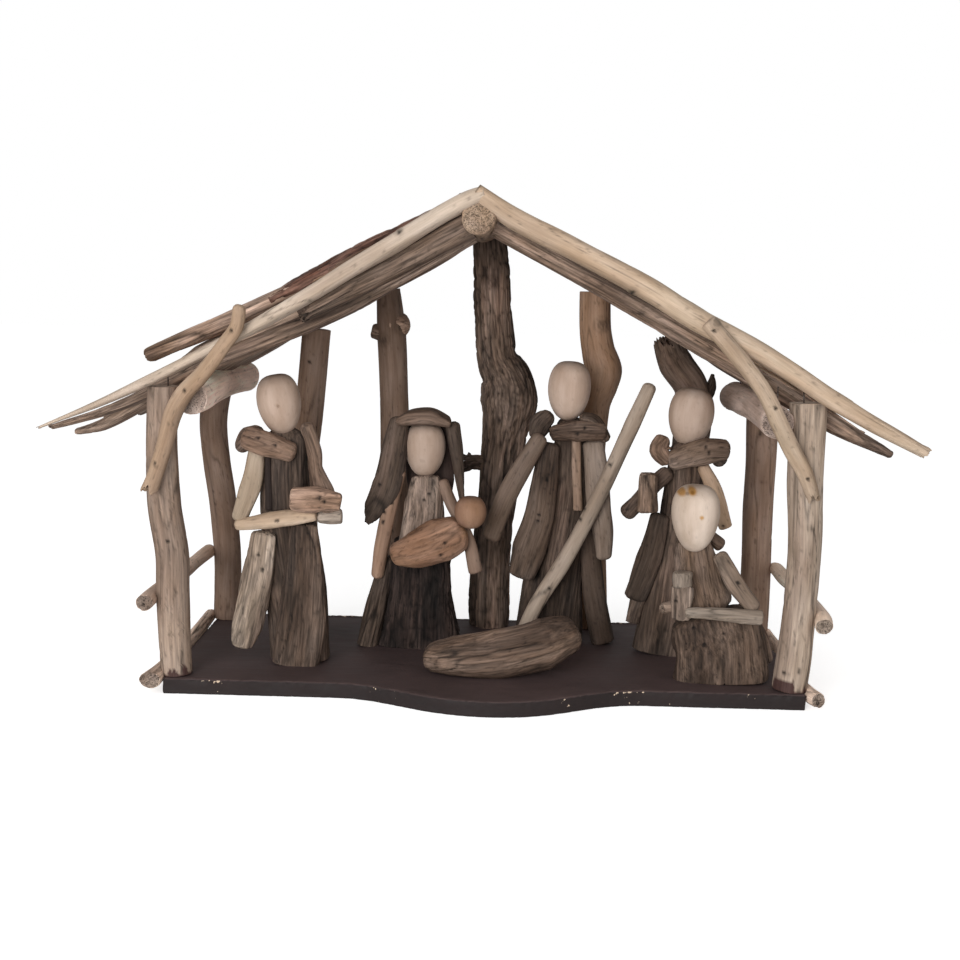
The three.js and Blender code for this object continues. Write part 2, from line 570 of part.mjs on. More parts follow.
function addMother(group) {
  fitPiece(group, "mother_head", woods.cream, [
    egg({ centre: [-39, 0, 123.4], radius: 13.6, height: 16.5, taper: 0.1 }),
  ]);
  fitPiece(group, "mother_veil", woods.umber, [
    branch({
      path: [[-54.5, -1, 141.5], [-38, -3, 145], [-23, -1, 141.5]],
      across: [3.6, 5, 3.6], deep: [8, 11, 8], power: 2.4, rings: 4, seed: 31,
    }),
    branch({
      path: [[-53.5, 1, 142], [-57.5, 1, 118], [-63.5, 0, 98], [-73.5, 0, 78]],
      across: [5, 6, 6.6, 3], deep: [5, 4.5, 4, 2.6], power: 2.6, seed: 32,
    }),
    branch({
      path: [[-24.2, 1, 141], [-22.6, 1, 126], [-19.8, 1, 108], [-17.4, 0, 93]],
      across: [4.4, 4.6, 3, 1.6], deep: [4.5, 4.5, 3.5, 2], power: 2.6, rings: 4, sides: 7, seed: 33,
    }),
    branch({
      path: [[-37, 6, 116], [-36.8, 6, 104], [-36.8, 4, 91]],
      across: [11, 15.4, 13], deep: 3.6, power: 2.4, rings: 2, seed: 40,
    }),
  ]);
  fitPiece(group, "mother_bodice", woods.greyBrown, [
    branch({
      path: [[-38.4, -1, 108], [-38.5, -3, 91], [-40, -4, 76], [-42, -3, 65]],
      across: [8.6, 11.5, 13, 12.5], deep: [6.5, 7.5, 8, 8], power: 2.6, ends: [BLUNT, SAWN], seed: 34,
    }),
  ]);
  fitPiece(group, "mother_skirt", woods.charred, [
    branch({
      path: [[-41.5, 6, 69], [-41, 9, 47], [-42, 11, 26], [-42.5, 12, 0]],
      across: [16.6, 19.2, 22.8, 26], deep: [10, 12, 13.5, 14.5], power: 2.6, sides: 10, rings: 3,
      ends: [BLUNT, SAWN], seed: 35,
    }),
    branch({
      path: [[-61, 6, 57], [-68, 6, 26], [-73.4, 7, 0]],
      across: [5.2, 6.4, 6.8], deep: [5, 6, 7], power: 2.6, rings: 3, sides: 8, ends: [WORN, SAWN], seed: 36,
    }),
  ]);
  fitPiece(group, "mother_arm", woods.biscuit, [
    branch({
      path: [[-53.5, -6, 112], [-60.5, -6.5, 84], [-64.5, -4.5, 62], [-67.4, -1.5, 43.5]],
      across: [4, 4.6, 4.6, 4.2], deep: 4.2, rings: 4, seed: 37,
    }),
  ]);
  fitPiece(group, "mother_near_arm", woods.biscuit, [
    branch({
      path: [[-28.5, -3, 106], [-22, -7, 91], [-13.5, -13, 76], [-10.2, -15, 68], [-6.2, -16, 51.5]],
      across: [3.8, 4, 3.8, 4, 4.3], deep: [4, 4, 3.8, 4, 4], rings: 4, seed: 38, ends: [WORN, BLUNT],
    }),
  ]);
  fitPiece(group, "baby", woods.biscuit, [
    branch({
      path: [[-58, -18, 61.5], [-44, -19, 65], [-28, -20, 71.5], [-13.5, -20.5, 79.5]],
      across: [6, 11, 13.4, 10], deep: [5, 8, 9, 8], rings: 4, power: 2.3, seed: 39,
    }),
    egg({ centre: [-10.4, -23, 89.2], radius: 9.8, height: 9.8, taper: 0.02, turns: 10, steps: 7 }),
  ]);
}

function addStaffBearer(group) {
  fitPiece(group, "shepherd_head", woods.cream, [
    egg({ centre: [47.5, 22, 159], radius: 14.7, height: 18.3, taper: 0.1, lean: 0.05 }),
  ]);
  fitPiece(group, "shepherd_robe", woods.charred, [
    branch({
      path: [[49.5, 25, 143], [48, 27, 92], [42, 28, 46], [38, 28, 0]],
      across: [9, 14, 17.5, 21], deep: [9, 10.5, 12, 12.5], power: 2.6, sides: 10,
      ends: [WORN, SAWN], seed: 41,
    }),
    branch({
      path: [[60, 23, 80], [66.3, 25, 36], [73.4, 25, 0]],
      across: [6, 7, 7.8], deep: [6, 7, 7], power: 2.6, rings: 3, ends: [WORN, SAWN], seed: 42,
    }),
  ]);
  fitPiece(group, "shepherd_collar", woods.umber, [
    branch({
      path: [[35.5, 12, 133.6], [53, 11, 135.6], [71, 13, 135]],
      across: [4.6, 6.6, 5.4], deep: [4, 5, 4], power: 2.6, rings: 3, seed: 43,
    }),
    branch({
      path: [[54, 15, 143.5], [62, 15, 141.5], [71.5, 15, 129]],
      across: [3.4, 5, 3.2], deep: [5, 6, 4], rings: 2, sides: 8, seed: 44,
    }),
    branch({
      path: [[37, 14, 146], [30.5, 13, 139], [27.5, 13, 129.5]],
      across: [4, 7.4, 4.4], deep: [4, 5, 4], rings: 2, sides: 8, power: 2.6, seed: 45,
    }),
  ]);
  fitPiece(group, "shepherd_left_panel", woods.umber, [
    branch({
      path: [[36.5, 14, 128], [33.8, 13, 103], [31, 13, 81], [25.4, 13, 62], [20, 13, 43]],
      across: [6, 8.4, 10, 10.5, 7.5], deep: [4, 4.6, 4.6, 4.6, 4], power: 3, rings: 4, seed: 46,
    }),
  ]);
  fitPiece(group, "shepherd_right_panel", woods.greyBrown, [
    branch({
      path: [[62.5, 16, 130], [65, 15, 111], [67.5, 15, 91], [70.5, 14, 73], [71.5, 14, 55.5]],
      across: [6.8, 7.6, 7.4, 6.4, 4.6], deep: [4, 5, 5, 5, 4], power: 2.8, rings: 4, seed: 47,
    }),
  ]);
  fitPiece(group, "shepherd_arm", woods.greyBrown, [
    branch({
      path: [[31.5, 8.5, 133], [18.6, 6, 111], [9.7, 4, 92.5], [0.5, 3, 68]],
      across: [5, 6, 6.6, 6.4], deep: 4.6, power: 2.6, rings: 4, seed: 48,
    }),
  ]);
}

function addStaff(group) {
  fitPiece(group, "staff", woods.bleached, [
    branch({
      path: [[96.2, 9, 165.5], [85.6, 8, 140], [69.6, 6.3, 103], [47.8, 4.4, 58.8], [31, 1, 30], [17, -2, 0]],
      across: [4.2, 5, 5, 5, 4.6, 4], rings: 6, ends: [WORN, SAWN], seed: 49,
    }),
  ]);
}

function addRearKing(group) {
  fitPiece(group, "king_rear_head", woods.cream, [
    egg({ centre: [120.6, 6, 146], radius: 15.1, height: 17.9, taper: 0.1, lean: 0.1 }),
  ]);
  fitPiece(group, "king_rear_robe", woods.charred, [
    branch({
      path: [[119, 6, 132.5], [118, 8, 86], [114, 8, 46], [108, 8, 0]],
      across: [9.5, 13, 17, 18], deep: [9, 10.5, 11, 11.5], power: 2.6, sides: 10,
      ends: [WORN, SAWN], seed: 51,
    }),
    branch({
      path: [[104, -1, 88], [98, -1.5, 60], [89.5, 0, 34]],
      across: [6, 8, 6.6], deep: [3.6, 4.4, 4], power: 2.8, rings: 3, seed: 52,
    }),
    branch({
      path: [[94, 4, 38], [89.8, 4, 19]],
      across: [5.6, 4.8], deep: 4, rings: 2, sides: 7, seed: 50,
    }),
  ]);
  fitPiece(group, "king_rear_collar", woods.greyBrown, [
    branch({
      path: [[106.5, -4, 119.5], [127, -6, 126.4], [143.5, -4.5, 127.5]],
      across: [6, 8, 6.4], deep: [4.4, 5.4, 4.4], power: 2.4, rings: 3, seed: 53,
    }),
    branch({
      path: [[105, -1, 135], [101.5, -2.5, 127], [108, -4, 118.5]],
      across: [4, 6.8, 4], deep: [3.6, 4.6, 3.6], rings: 2, sides: 7, seed: 54,
    }),
    branch({
      path: [[134, -1, 124], [141, -1, 118.5]],
      across: [5, 4.4], deep: 4, rings: 1, sides: 7, seed: 58,
    }),
  ]);
  fitPiece(group, "king_rear_arm", woods.bleached, [
    branch({
      path: [[127.5, -1, 119], [134.4, -1, 105.5], [143.8, -2, 79.8]],
      across: [4, 4.9, 4.2], deep: 4, rings: 4, seed: 55, ends: [WORN, BLUNT],
    }),
  ]);
  fitPiece(group, "king_rear_gift_arm", woods.umber, [
    branch({
      path: [[108.4, -1.5, 114.4], [94.6, -6, 101.6], [80.8, -11, 87.4]],
      across: [4.6, 5, 5.6], deep: [4.6, 5, 5], rings: 3, seed: 56,
    }),
    branch({
      path: [[94.6, -13, 114], [94.3, -13, 90]],
      across: [5.6, 6.2], deep: [4.4, 4.8], power: 3.4, rings: 2, ends: [BLUNT, BLUNT], seed: 57,
    }),
  ]);
}

function addKneelingKing(group) {
  fitPiece(group, "king_kneeling_head", woods.cream, [
    egg({ centre: [117.4, -58, 94.6], radius: 16.1, height: 19.2, taper: 0.16 }),
  ]);
  fitPiece(group, "king_kneeling_robe", woods.umber, [
    branch({
      path: [[117, -50, 84], [121, -50, 62], [127, -50, 38]],
      across: [9, 13.5, 18], deep: [7, 8.5, 9], power: 2.6, rings: 4, seed: 61,
    }),
    branch({
      path: [[131, -50, 40], [135, -50, 21], [136, -50, 0]],
      across: [23, 27.5, 26.5], deep: [13, 15, 15.5], power: 2.8, sides: 10, rings: 3,
      ends: [BLUNT, SAWN], seed: 62,
    }),
    branch({
      path: [[110, -53, 43], [100.5, -57, 42]],
      across: [3.6, 3], rings: 1, sides: 7, seed: 63,
    }),
    branch({
      path: [[125, -45, 84], [135.6, -45, 76]],
      across: [4.6, 4], rings: 1, sides: 7, seed: 68,
    }),
    branch({
      path: [[151, -44, 37], [159.5, -44, 24], [164, -44, 8]],
      across: [4, 4.4, 4], deep: 5, rings: 2, sides: 7, seed: 69,
    }),
  ]);
  fitPiece(group, "king_kneeling_arm", woods.bleached, [
    branch({
      path: [[131, -57, 75], [141, -59, 58], [153, -62, 43]],
      across: [4.4, 5.2, 4.6], deep: [3.6, 4, 4], power: 2.6, rings: 4, seed: 64,
    }),
    branch({
      path: [[156.5, -66, 40], [137, -67.5, 41.6], [112, -68, 42.3]],
      across: [4.2, 4.3, 3], deep: [3.6, 3.8, 3], rings: 4, seed: 65, ends: [BLUNT, WORN],
    }),
  ]);
  fitPiece(group, "king_kneeling_gift", woods.greyBrown, [
    branch({
      path: [[111.2, -62.5, 37], [111, -62.5, 57]],
      across: [6.2, 6.3], deep: 5, rings: 2, sides: 10, ends: [BLUNT, BLUNT], seed: 66,
    }),
    branch({
      path: [[110.8, -62.5, 55.5], [110.6, -62.5, 65]],
      across: [5.4, 6.3], deep: 5, rings: 2, sides: 10, ends: [SAWN, BLUNT], seed: 67,
    }),
  ]);
}

function addCrib(group) {
  fitPiece(group, "crib", woods.biscuit, [
    branch({
      path: [[-35, -49, 8], [-18, -54, 10], [8, -55, 13], [34, -50, 18], [54.5, -44, 24]],
      across: [7, 11, 14.5, 15, 9], deep: [8, 12, 14, 13, 9], power: 2.6, sides: 10, rings: 5, seed: 71,
    }),
  ]);
}

// Assembly: what the others rest on is fitted first

function buildBoard() {
  const group = new THREE.Group();
  fitPiece(group, "board", woods.paintedBoard, [boardSlab]);
  return group;
}

function buildHouse() {
  const house = new THREE.Group();
  const roof = new THREE.Group();
  addRidge(house);
  addPurlin(house, "purlin_left", LEFT, 3, 2);
  addPurlin(house, "purlin_right", RIGHT, 2.6, 3);
  addLeftRoof(roof);
  addRightRoof(roof);
  house.add(roof);
  addSidePosts(house);
  addBackPosts(house);
  addBraces(house);
  addRails(house);
  return house;
}

function buildFigures() {
  const figures = new THREE.Group();
  addLeftKing(figures);
  addMother(figures);
  addStaffBearer(figures);
  addStaff(figures);
  addRearKing(figures);
  addKneelingKing(figures);
  addCrib(figures);
  return figures;
}

const group = new THREE.Group();
const onBoard = new THREE.Group();
onBoard.position.z = BOARD_THICKNESS;
onBoard.add(buildBoard(), buildHouse(), buildFigures());
group.add(onBoard);

export default group;
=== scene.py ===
"""Driftwood nativity house: a stable of sea-worn sticks on a painted board, with its wooden figures.

Each piece of wood is carved in place of its plain solid: one or more limbs swept along a bent
centre line, grooved and pitted along the grain, with the tone of the wood kept on the mesh.
"""

import logging
import math
from dataclasses import dataclass, fields
from enum import Enum
from typing import ClassVar

import bmesh
import bpy
import numpy as np
from mathutils import Matrix, Vector

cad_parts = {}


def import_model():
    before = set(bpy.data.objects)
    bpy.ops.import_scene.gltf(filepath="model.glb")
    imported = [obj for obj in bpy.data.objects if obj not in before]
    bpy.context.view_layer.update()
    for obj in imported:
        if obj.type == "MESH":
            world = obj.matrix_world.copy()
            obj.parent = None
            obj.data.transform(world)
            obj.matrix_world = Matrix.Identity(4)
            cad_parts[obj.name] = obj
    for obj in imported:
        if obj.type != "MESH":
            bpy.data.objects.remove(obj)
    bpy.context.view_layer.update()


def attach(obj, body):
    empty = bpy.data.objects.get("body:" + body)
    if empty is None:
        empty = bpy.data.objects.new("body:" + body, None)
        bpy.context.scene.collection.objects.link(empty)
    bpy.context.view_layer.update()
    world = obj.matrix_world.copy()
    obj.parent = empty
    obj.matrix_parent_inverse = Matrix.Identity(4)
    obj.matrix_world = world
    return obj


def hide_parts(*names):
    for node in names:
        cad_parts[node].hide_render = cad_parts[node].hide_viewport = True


LOG = logging.getLogger("nativity_house")
MM = 0.001
BOARD_TOP = 9.0
FRONT = (0.0, -1.0, 0.0)
UPWARD = (0.0, 0.0, 1.0)
BODY = "root"

# How close the rows of a carved surface lie, in mm: around a limb and along it
FINE_PITCH = (0.6, 1.25)
BROAD_PITCH = (0.8, 1.7)
FINE_LENGTH = 120.0

# How far apart the balls stand that the limbs of one piece are drawn from
BALL_GAP = 4.0

# A nail hole, in mm, and how light sawn ends are
NAIL_RADIUS = 1.05
NAIL_DEPTH = 1.2
SAWN_SHADE = 0.82

# How much red, green and blue a nail hole, a stain and a spot of resin take away; the nail hole's darkening is
# painted shade inside the hole
HOLE_SHADE = (0.9, 0.9, 0.9)
STAIN = (0.4, 0.45, 0.5)
RESIN = (0.28, 0.52, 0.8)

# The board's paint where it has run up the wood that stands on it
PAINT = "46302c"


def linear(code: str) -> tuple[float, float, float]:
    """Turns a colour written as six hex digits into linear light.

    Args:
        code: the colour, such as "cab5a2".

    Returns:
        Red, green and blue from 0 to 1.
    """
    parts = [int(code[at : at + 2], 16) / 255 for at in (0, 2, 4)]
    return tuple(part / 12.92 if part <= 0.04045 else ((part + 0.055) / 1.055) ** 2.4 for part in parts)


class End(Enum):
    """How the end of a limb is finished: corner width, corner depth, splinter length, pit depth."""

    SAWN = (0.08, 0.07, 0.0, 0.0)
    BLUNT = (0.4, 0.35, 0.0, 0.15)
    WORN = (0.85, 0.75, 0.0, 0.1)
    TORN = (0.35, 0.3, 1.0, 0.3)
    POROUS = (0.16, 0.12, 0.0, 1.0)


@dataclass(frozen=True)
class Tone:
    """The colours of one wood: its body, its hollows and its rubbed edges."""

    body: str
    dark: str
    light: str


@dataclass(frozen=True)
class Skin:
    """How weathered a surface is, in mm of depth.

    Args:
        wobble: slow dents over the whole limb.
        fibre: fine raised grain.
        groove: depth of the open grain lines.
        gap: how wide those lines are, from 0 to 1.
        check: depth of the few long drying cracks.
        pits: depth of small round pores.
        flakes: depth of the bark's cross cracks.
        patch: how strongly the tone changes from place to place.
        show: how strongly the fine grain lines show, from 0 to 1.
    """

    wobble: float
    fibre: float
    groove: float
    gap: float
    check: float
    pits: float
    flakes: float
    patch: float
    show: float


SMOOTH_SKIN = Skin(0.5, 0.08, 0.16, 0.035, 0.35, 0.14, 0.0, 0.45, 0.28)
WORN_SKIN = Skin(0.6, 0.15, 0.3, 0.055, 0.7, 0.18, 0.0, 0.6, 0.55)
OPEN_SKIN = Skin(0.5, 0.3, 0.6, 0.085, 1.2, 0.18, 0.0, 0.8, 0.9)
ROUGH_SKIN = Skin(0.8, 0.4, 0.8, 0.1, 1.4, 0.35, 0.9, 0.9, 0.8)
BARK_SKIN = Skin(0.7, 0.35, 0.6, 0.09, 1.0, 0.25, 0.6, 1.1, 0.8)
HEAD_SKIN = Skin(0.2, 0.0, 0.0, 0.02, 0.0, 0.04, 0.0, 0.3, 0.14)

BLEACHED = Tone("bba795", "826d5e", "d2c1af")
STRAW = Tone("bba28a", "917a65", "d4c2ac")
HONEY = Tone("9f846d", "735c4a", "b9a088")
TAN = Tone("9c7d68", "71594a", "b99985")
PUTTY = Tone("a99685", "836e61", "c5b3a2")
DUST = Tone("988272", "746053", "b59f8d")
DRIFT = Tone("826a58", "57453b", "a38a7a")
ASH = Tone("b79f90", "8c776c", "dbc5b5")
UMBER = Tone("6c584b", "4c3c32", "8b7464")
PEAT = Tone("5d4d42", "3c312b", "7d675a")
CHAR = Tone("392d29", "211b18", "54443d")
RUSSET = Tone("866c59", "5f4b3e", "a78973")
ROSE = Tone("6c4e43", "4a352d", "8f6f62")
CINNAMON = Tone("936f58", "715340", "b48f70")
CREAM = Tone("baa291", "937a68", "cfbaab")
CHALK = Tone("c8b5a5", "9c8671", "d7c8b8")


class GrainNoise:
    """Smooth repeatable noise from 0 to 1 on a lattice that wraps."""

    SIDE: ClassVar[int] = 32

    def __init__(self, seed: int) -> None:
        """Fills the lattice from a fixed seed."""
        self.lattice = np.random.default_rng(seed).random((self.SIDE,) * 3).astype(np.float32)

    def at(self, x: np.ndarray, y: np.ndarray, z: np.ndarray) -> np.ndarray:
        """Reads the noise.

        Args:
            x: first coordinates, in lattice steps.
            y: second coordinates.
            z: third coordinates.

        Returns:
            The noise at each place.
        """
        place = [np.floor(axis).astype(np.int64) for axis in (x, y, z)]
        ease = [axis - whole for axis, whole in zip((x, y, z), place)]
        ease = [part * part * (3 - 2 * part) for part in ease]
        total = np.zeros(np.shape(x), np.float32)
        for corner in range(8):
            step = [(corner >> axis) & 1 for axis in range(3)]
            index = tuple((place[axis] + step[axis]) % self.SIDE for axis in range(3))
            weight = [ease[axis] if step[axis] else 1 - ease[axis] for axis in range(3)]
            total += self.lattice[index] * weight[0] * weight[1] * weight[2]
        return total


NOISE = GrainNoise(20)


class Pattern(Enum):
    """The patterns in driftwood: the size of a feature across the grain and along it, in mm, and a shift."""

    FIBRE = (1.5, 20, 3.1)
    HAIR = (0.8, 9, 7.7)
    GROOVE = (3.4, 60, 11.3)
    FINE_GROOVE = (1.9, 34, 15.9)
    CHECK = (7.5, 95, 19.7)
    CHECKED_AREA = (12, 40, 2.2)
    PIT = (1.3, 2.2, 23.5)
    CELL = (0.75, 1.2, 27.1)
    CELL_AREA = (2.6, 3, 5.4)
    FLAKE = (4.2, 7.5, 31.3)
    DENT = (9, 26, 1.5)
    PATCH = (11, 48, 8.8)
    PATCH_EDGE = (3, 18, 4.2)
    SPLINTER = (2.3, 1, 6.3)
    FINE_SPLINTER = (1.0, 1, 9.3)

    def at(self, grain: np.ndarray) -> np.ndarray:
        """Reads the pattern.

        Args:
            grain: straightened coordinates in mm, the last one along the grain.

        Returns:
            The pattern at each place, from 0 to 1.
        """
        wide, long, shift = self.value
        return NOISE.at(grain[..., 0] / wide + shift, grain[..., 1] / wide + shift, grain[..., 2] / long + shift)


def crease(noise: np.ndarray, gap: float) -> np.ndarray:
    """Turns noise into thin lines, 1 in the middle of a line and 0 beside it."""
    return np.clip(1 - np.abs(noise - 0.5) / gap, 0, 1) ** 1.5


def above(noise: np.ndarray, low: float, high: float) -> np.ndarray:
    """Ramps noise from 0 at the low value to 1 at the high one."""
    return np.clip((noise - low) / (high - low), 0, 1)


def unit(vectors: np.ndarray) -> np.ndarray:
    """Scales vectors to length one."""
    return vectors / np.maximum(np.linalg.norm(vectors, axis=-1, keepdims=True), 1e-9)


def surface_normals(points: np.ndarray) -> np.ndarray:
    """Finds the outward normals of a closed tube of points.

    Args:
        points: places by row along the limb and column around it.

    Returns:
        A unit normal for each place.
    """
    along = np.gradient(points, axis=0)
    around = np.roll(points, -1, axis=1) - np.roll(points, 1, axis=1)
    normals = unit(np.cross(along, around))
    normals[0] = unit(normals[1].mean(axis=0))
    normals[-1] = unit(normals[-2].mean(axis=0))
    return normals


@dataclass
class Shell:
    """A carved skin: its places, grain coordinates and tone, by row and column.

    The tone's fourth number is how porous the wood is there.
    """

    points: np.ndarray
    grain: np.ndarray
    tone: np.ndarray


def weather(
    points: np.ndarray, grain: np.ndarray, skin: Skin, tone: Tone, shade: float, ends: np.ndarray, porous: np.ndarray
) -> Shell:
    """Carves grain, cracks and pores into a plain tube and colours it, with painted shade in its hollows and raised
    fibres lightened, partly as bleaching and partly as a painted highlight.

    Args:
        points: places by row and column, in mm.
        grain: straightened coordinates of the same places.
        skin: how weathered the wood is.
        tone: the colours of the wood.
        shade: lightens or darkens the tone as a whole: partly the wood's own tone, partly painted light and shade for
            how brightly it is lit.
        ends: 1 on the end faces, 0 along the limb.
        porous: how deep the end pores go, in mm.

    Returns:
        The carved skin.
    """
    fibre = Pattern.FIBRE.at(grain)
    fine = Pattern.HAIR.at(grain)
    lines = np.maximum(
        crease(Pattern.GROOVE.at(grain), skin.gap),
        0.8 * crease(Pattern.FINE_GROOVE.at(grain), skin.gap),
    )
    checks = crease(Pattern.CHECK.at(grain), 0.025) * above(Pattern.CHECKED_AREA.at(grain), 0.4, 0.6)
    pits = above(Pattern.PIT.at(grain), 0.78, 0.9)
    cells = above(Pattern.CELL.at(grain), 0.5, 0.74) * above(Pattern.CELL_AREA.at(grain), 0.3, 0.55)
    flakes = crease(Pattern.FLAKE.at(grain), 0.13) if skin.flakes else np.zeros_like(fibre)
    dents = Pattern.DENT.at(grain) - 0.5
    side = 1 - ends
    height = skin.wobble * dents * 2 + skin.fibre * (fibre + 0.6 * fine - 0.8) * side
    height -= skin.groove * lines * side + skin.check * checks
    height -= skin.pits * pits + skin.flakes * flakes * side + porous * cells
    carved = points + surface_normals(points) * (height - 0.15)[..., None]

    patch = Pattern.PATCH.at(grain) + 0.35 * (Pattern.PATCH_EDGE.at(grain) - 0.5)
    low = above(patch, 0.5, 0.16) * skin.patch
    high = above(patch, 0.52, 0.84) * skin.patch
    # Painted shade: the grooves, drying cracks, pits, bark cracks and end pores are darkened as if shade lay in them.
    hollow_shade = 0.75 * lines * side * (skin.groove > 0.25) + checks * min(1, 2 * skin.check)
    hollow_shade = np.clip(hollow_shade + 0.5 * pits * min(1, 8 * skin.pits) + 0.55 * flakes * side, 0, 1)
    hollow_shade = np.maximum(hollow_shade, np.clip(cells * np.clip(porous * 1.4, 0, 1), 0, 1) * 0.62)
    body, dark, light = (np.array(linear(code)) for code in (tone.body, tone.dark, tone.light))
    colour = body + (dark - body) * np.clip(low, 0, 1)[..., None]
    colour = colour + (light - colour) * np.clip(high, 0, 1)[..., None]
    shade = shade + (SAWN_SHADE - shade) * np.clip(ends * porous, 0, 1)[..., None]
    # Raised fibres lighter and the grain between them darker: partly sun-bleached grain, partly a painted highlight
    # and painted shade on the relief.
    fibre_bleach_and_light = 1 + min(2.2 * skin.fibre, 0.7) * (0.5 * fibre + 0.9 * fine - 0.7) * side
    colour = colour * ((1 - 0.78 * hollow_shade) * fibre_bleach_and_light)[..., None] * shade
    return Shell(carved, grain, np.concatenate([colour, np.clip(porous, 0, 1)[..., None]], axis=-1))


def sink(
    shell: Shell, marks: tuple[tuple[float, ...], ...], radius: float, depth: float, wipe: tuple[float, float, float]
) -> None:
    """Sinks dark marks into the front of a carved skin: nail holes darkened with painted shade, stains and resin in
    their own colours.

    Args:
        shell: the skin, changed in place.
        marks: places as seen from the front, in mm from the board's top, with a radius where one differs.
        radius: how wide a hole is where the mark gives no radius.
        depth: how deep it goes.
        wipe: how much of the red, green and blue the mark takes away; for a nail hole this is painted shade.
    """
    middle = shell.points[..., 1].mean(axis=1, keepdims=True)
    facing = shell.points[..., 1] < middle
    for mark in marks:
        size = mark[2] if len(mark) > 2 else radius
        away = np.hypot(shell.points[..., 0] - mark[0], shell.points[..., 2] - BOARD_TOP - mark[1])
        cut = np.clip(1.35 - away / size, 0, 1) * facing
        shell.points[..., 1] += cut * depth
        shell.tone[..., :3] *= 1 - np.array(wipe) * np.clip(cut * 1.6, 0, 1)[..., None]


def dip_in_paint(shell: Shell, height: float) -> None:
    """Runs the board's paint up the foot of a limb, with a ragged edge.

    Args:
        shell: the skin, changed in place.
        height: how far up the paint reaches, in mm.
    """
    x, y, z = np.moveaxis(shell.points, -1, 0)
    runs = above(NOISE.at(x / 4.5, y / 4.5, z / 14), 0.5, 0.64)
    edge = height * (0.35 + runs) + 2.2 * (NOISE.at(x / 1.8, y / 1.8, z / 1.8) - 0.5)
    wet = np.clip((edge - (z - BOARD_TOP)) / 0.5, 0, 1)[..., None]
    shell.tone[..., :3] += (np.array(linear(PAINT)) - shell.tone[..., :3]) * wet


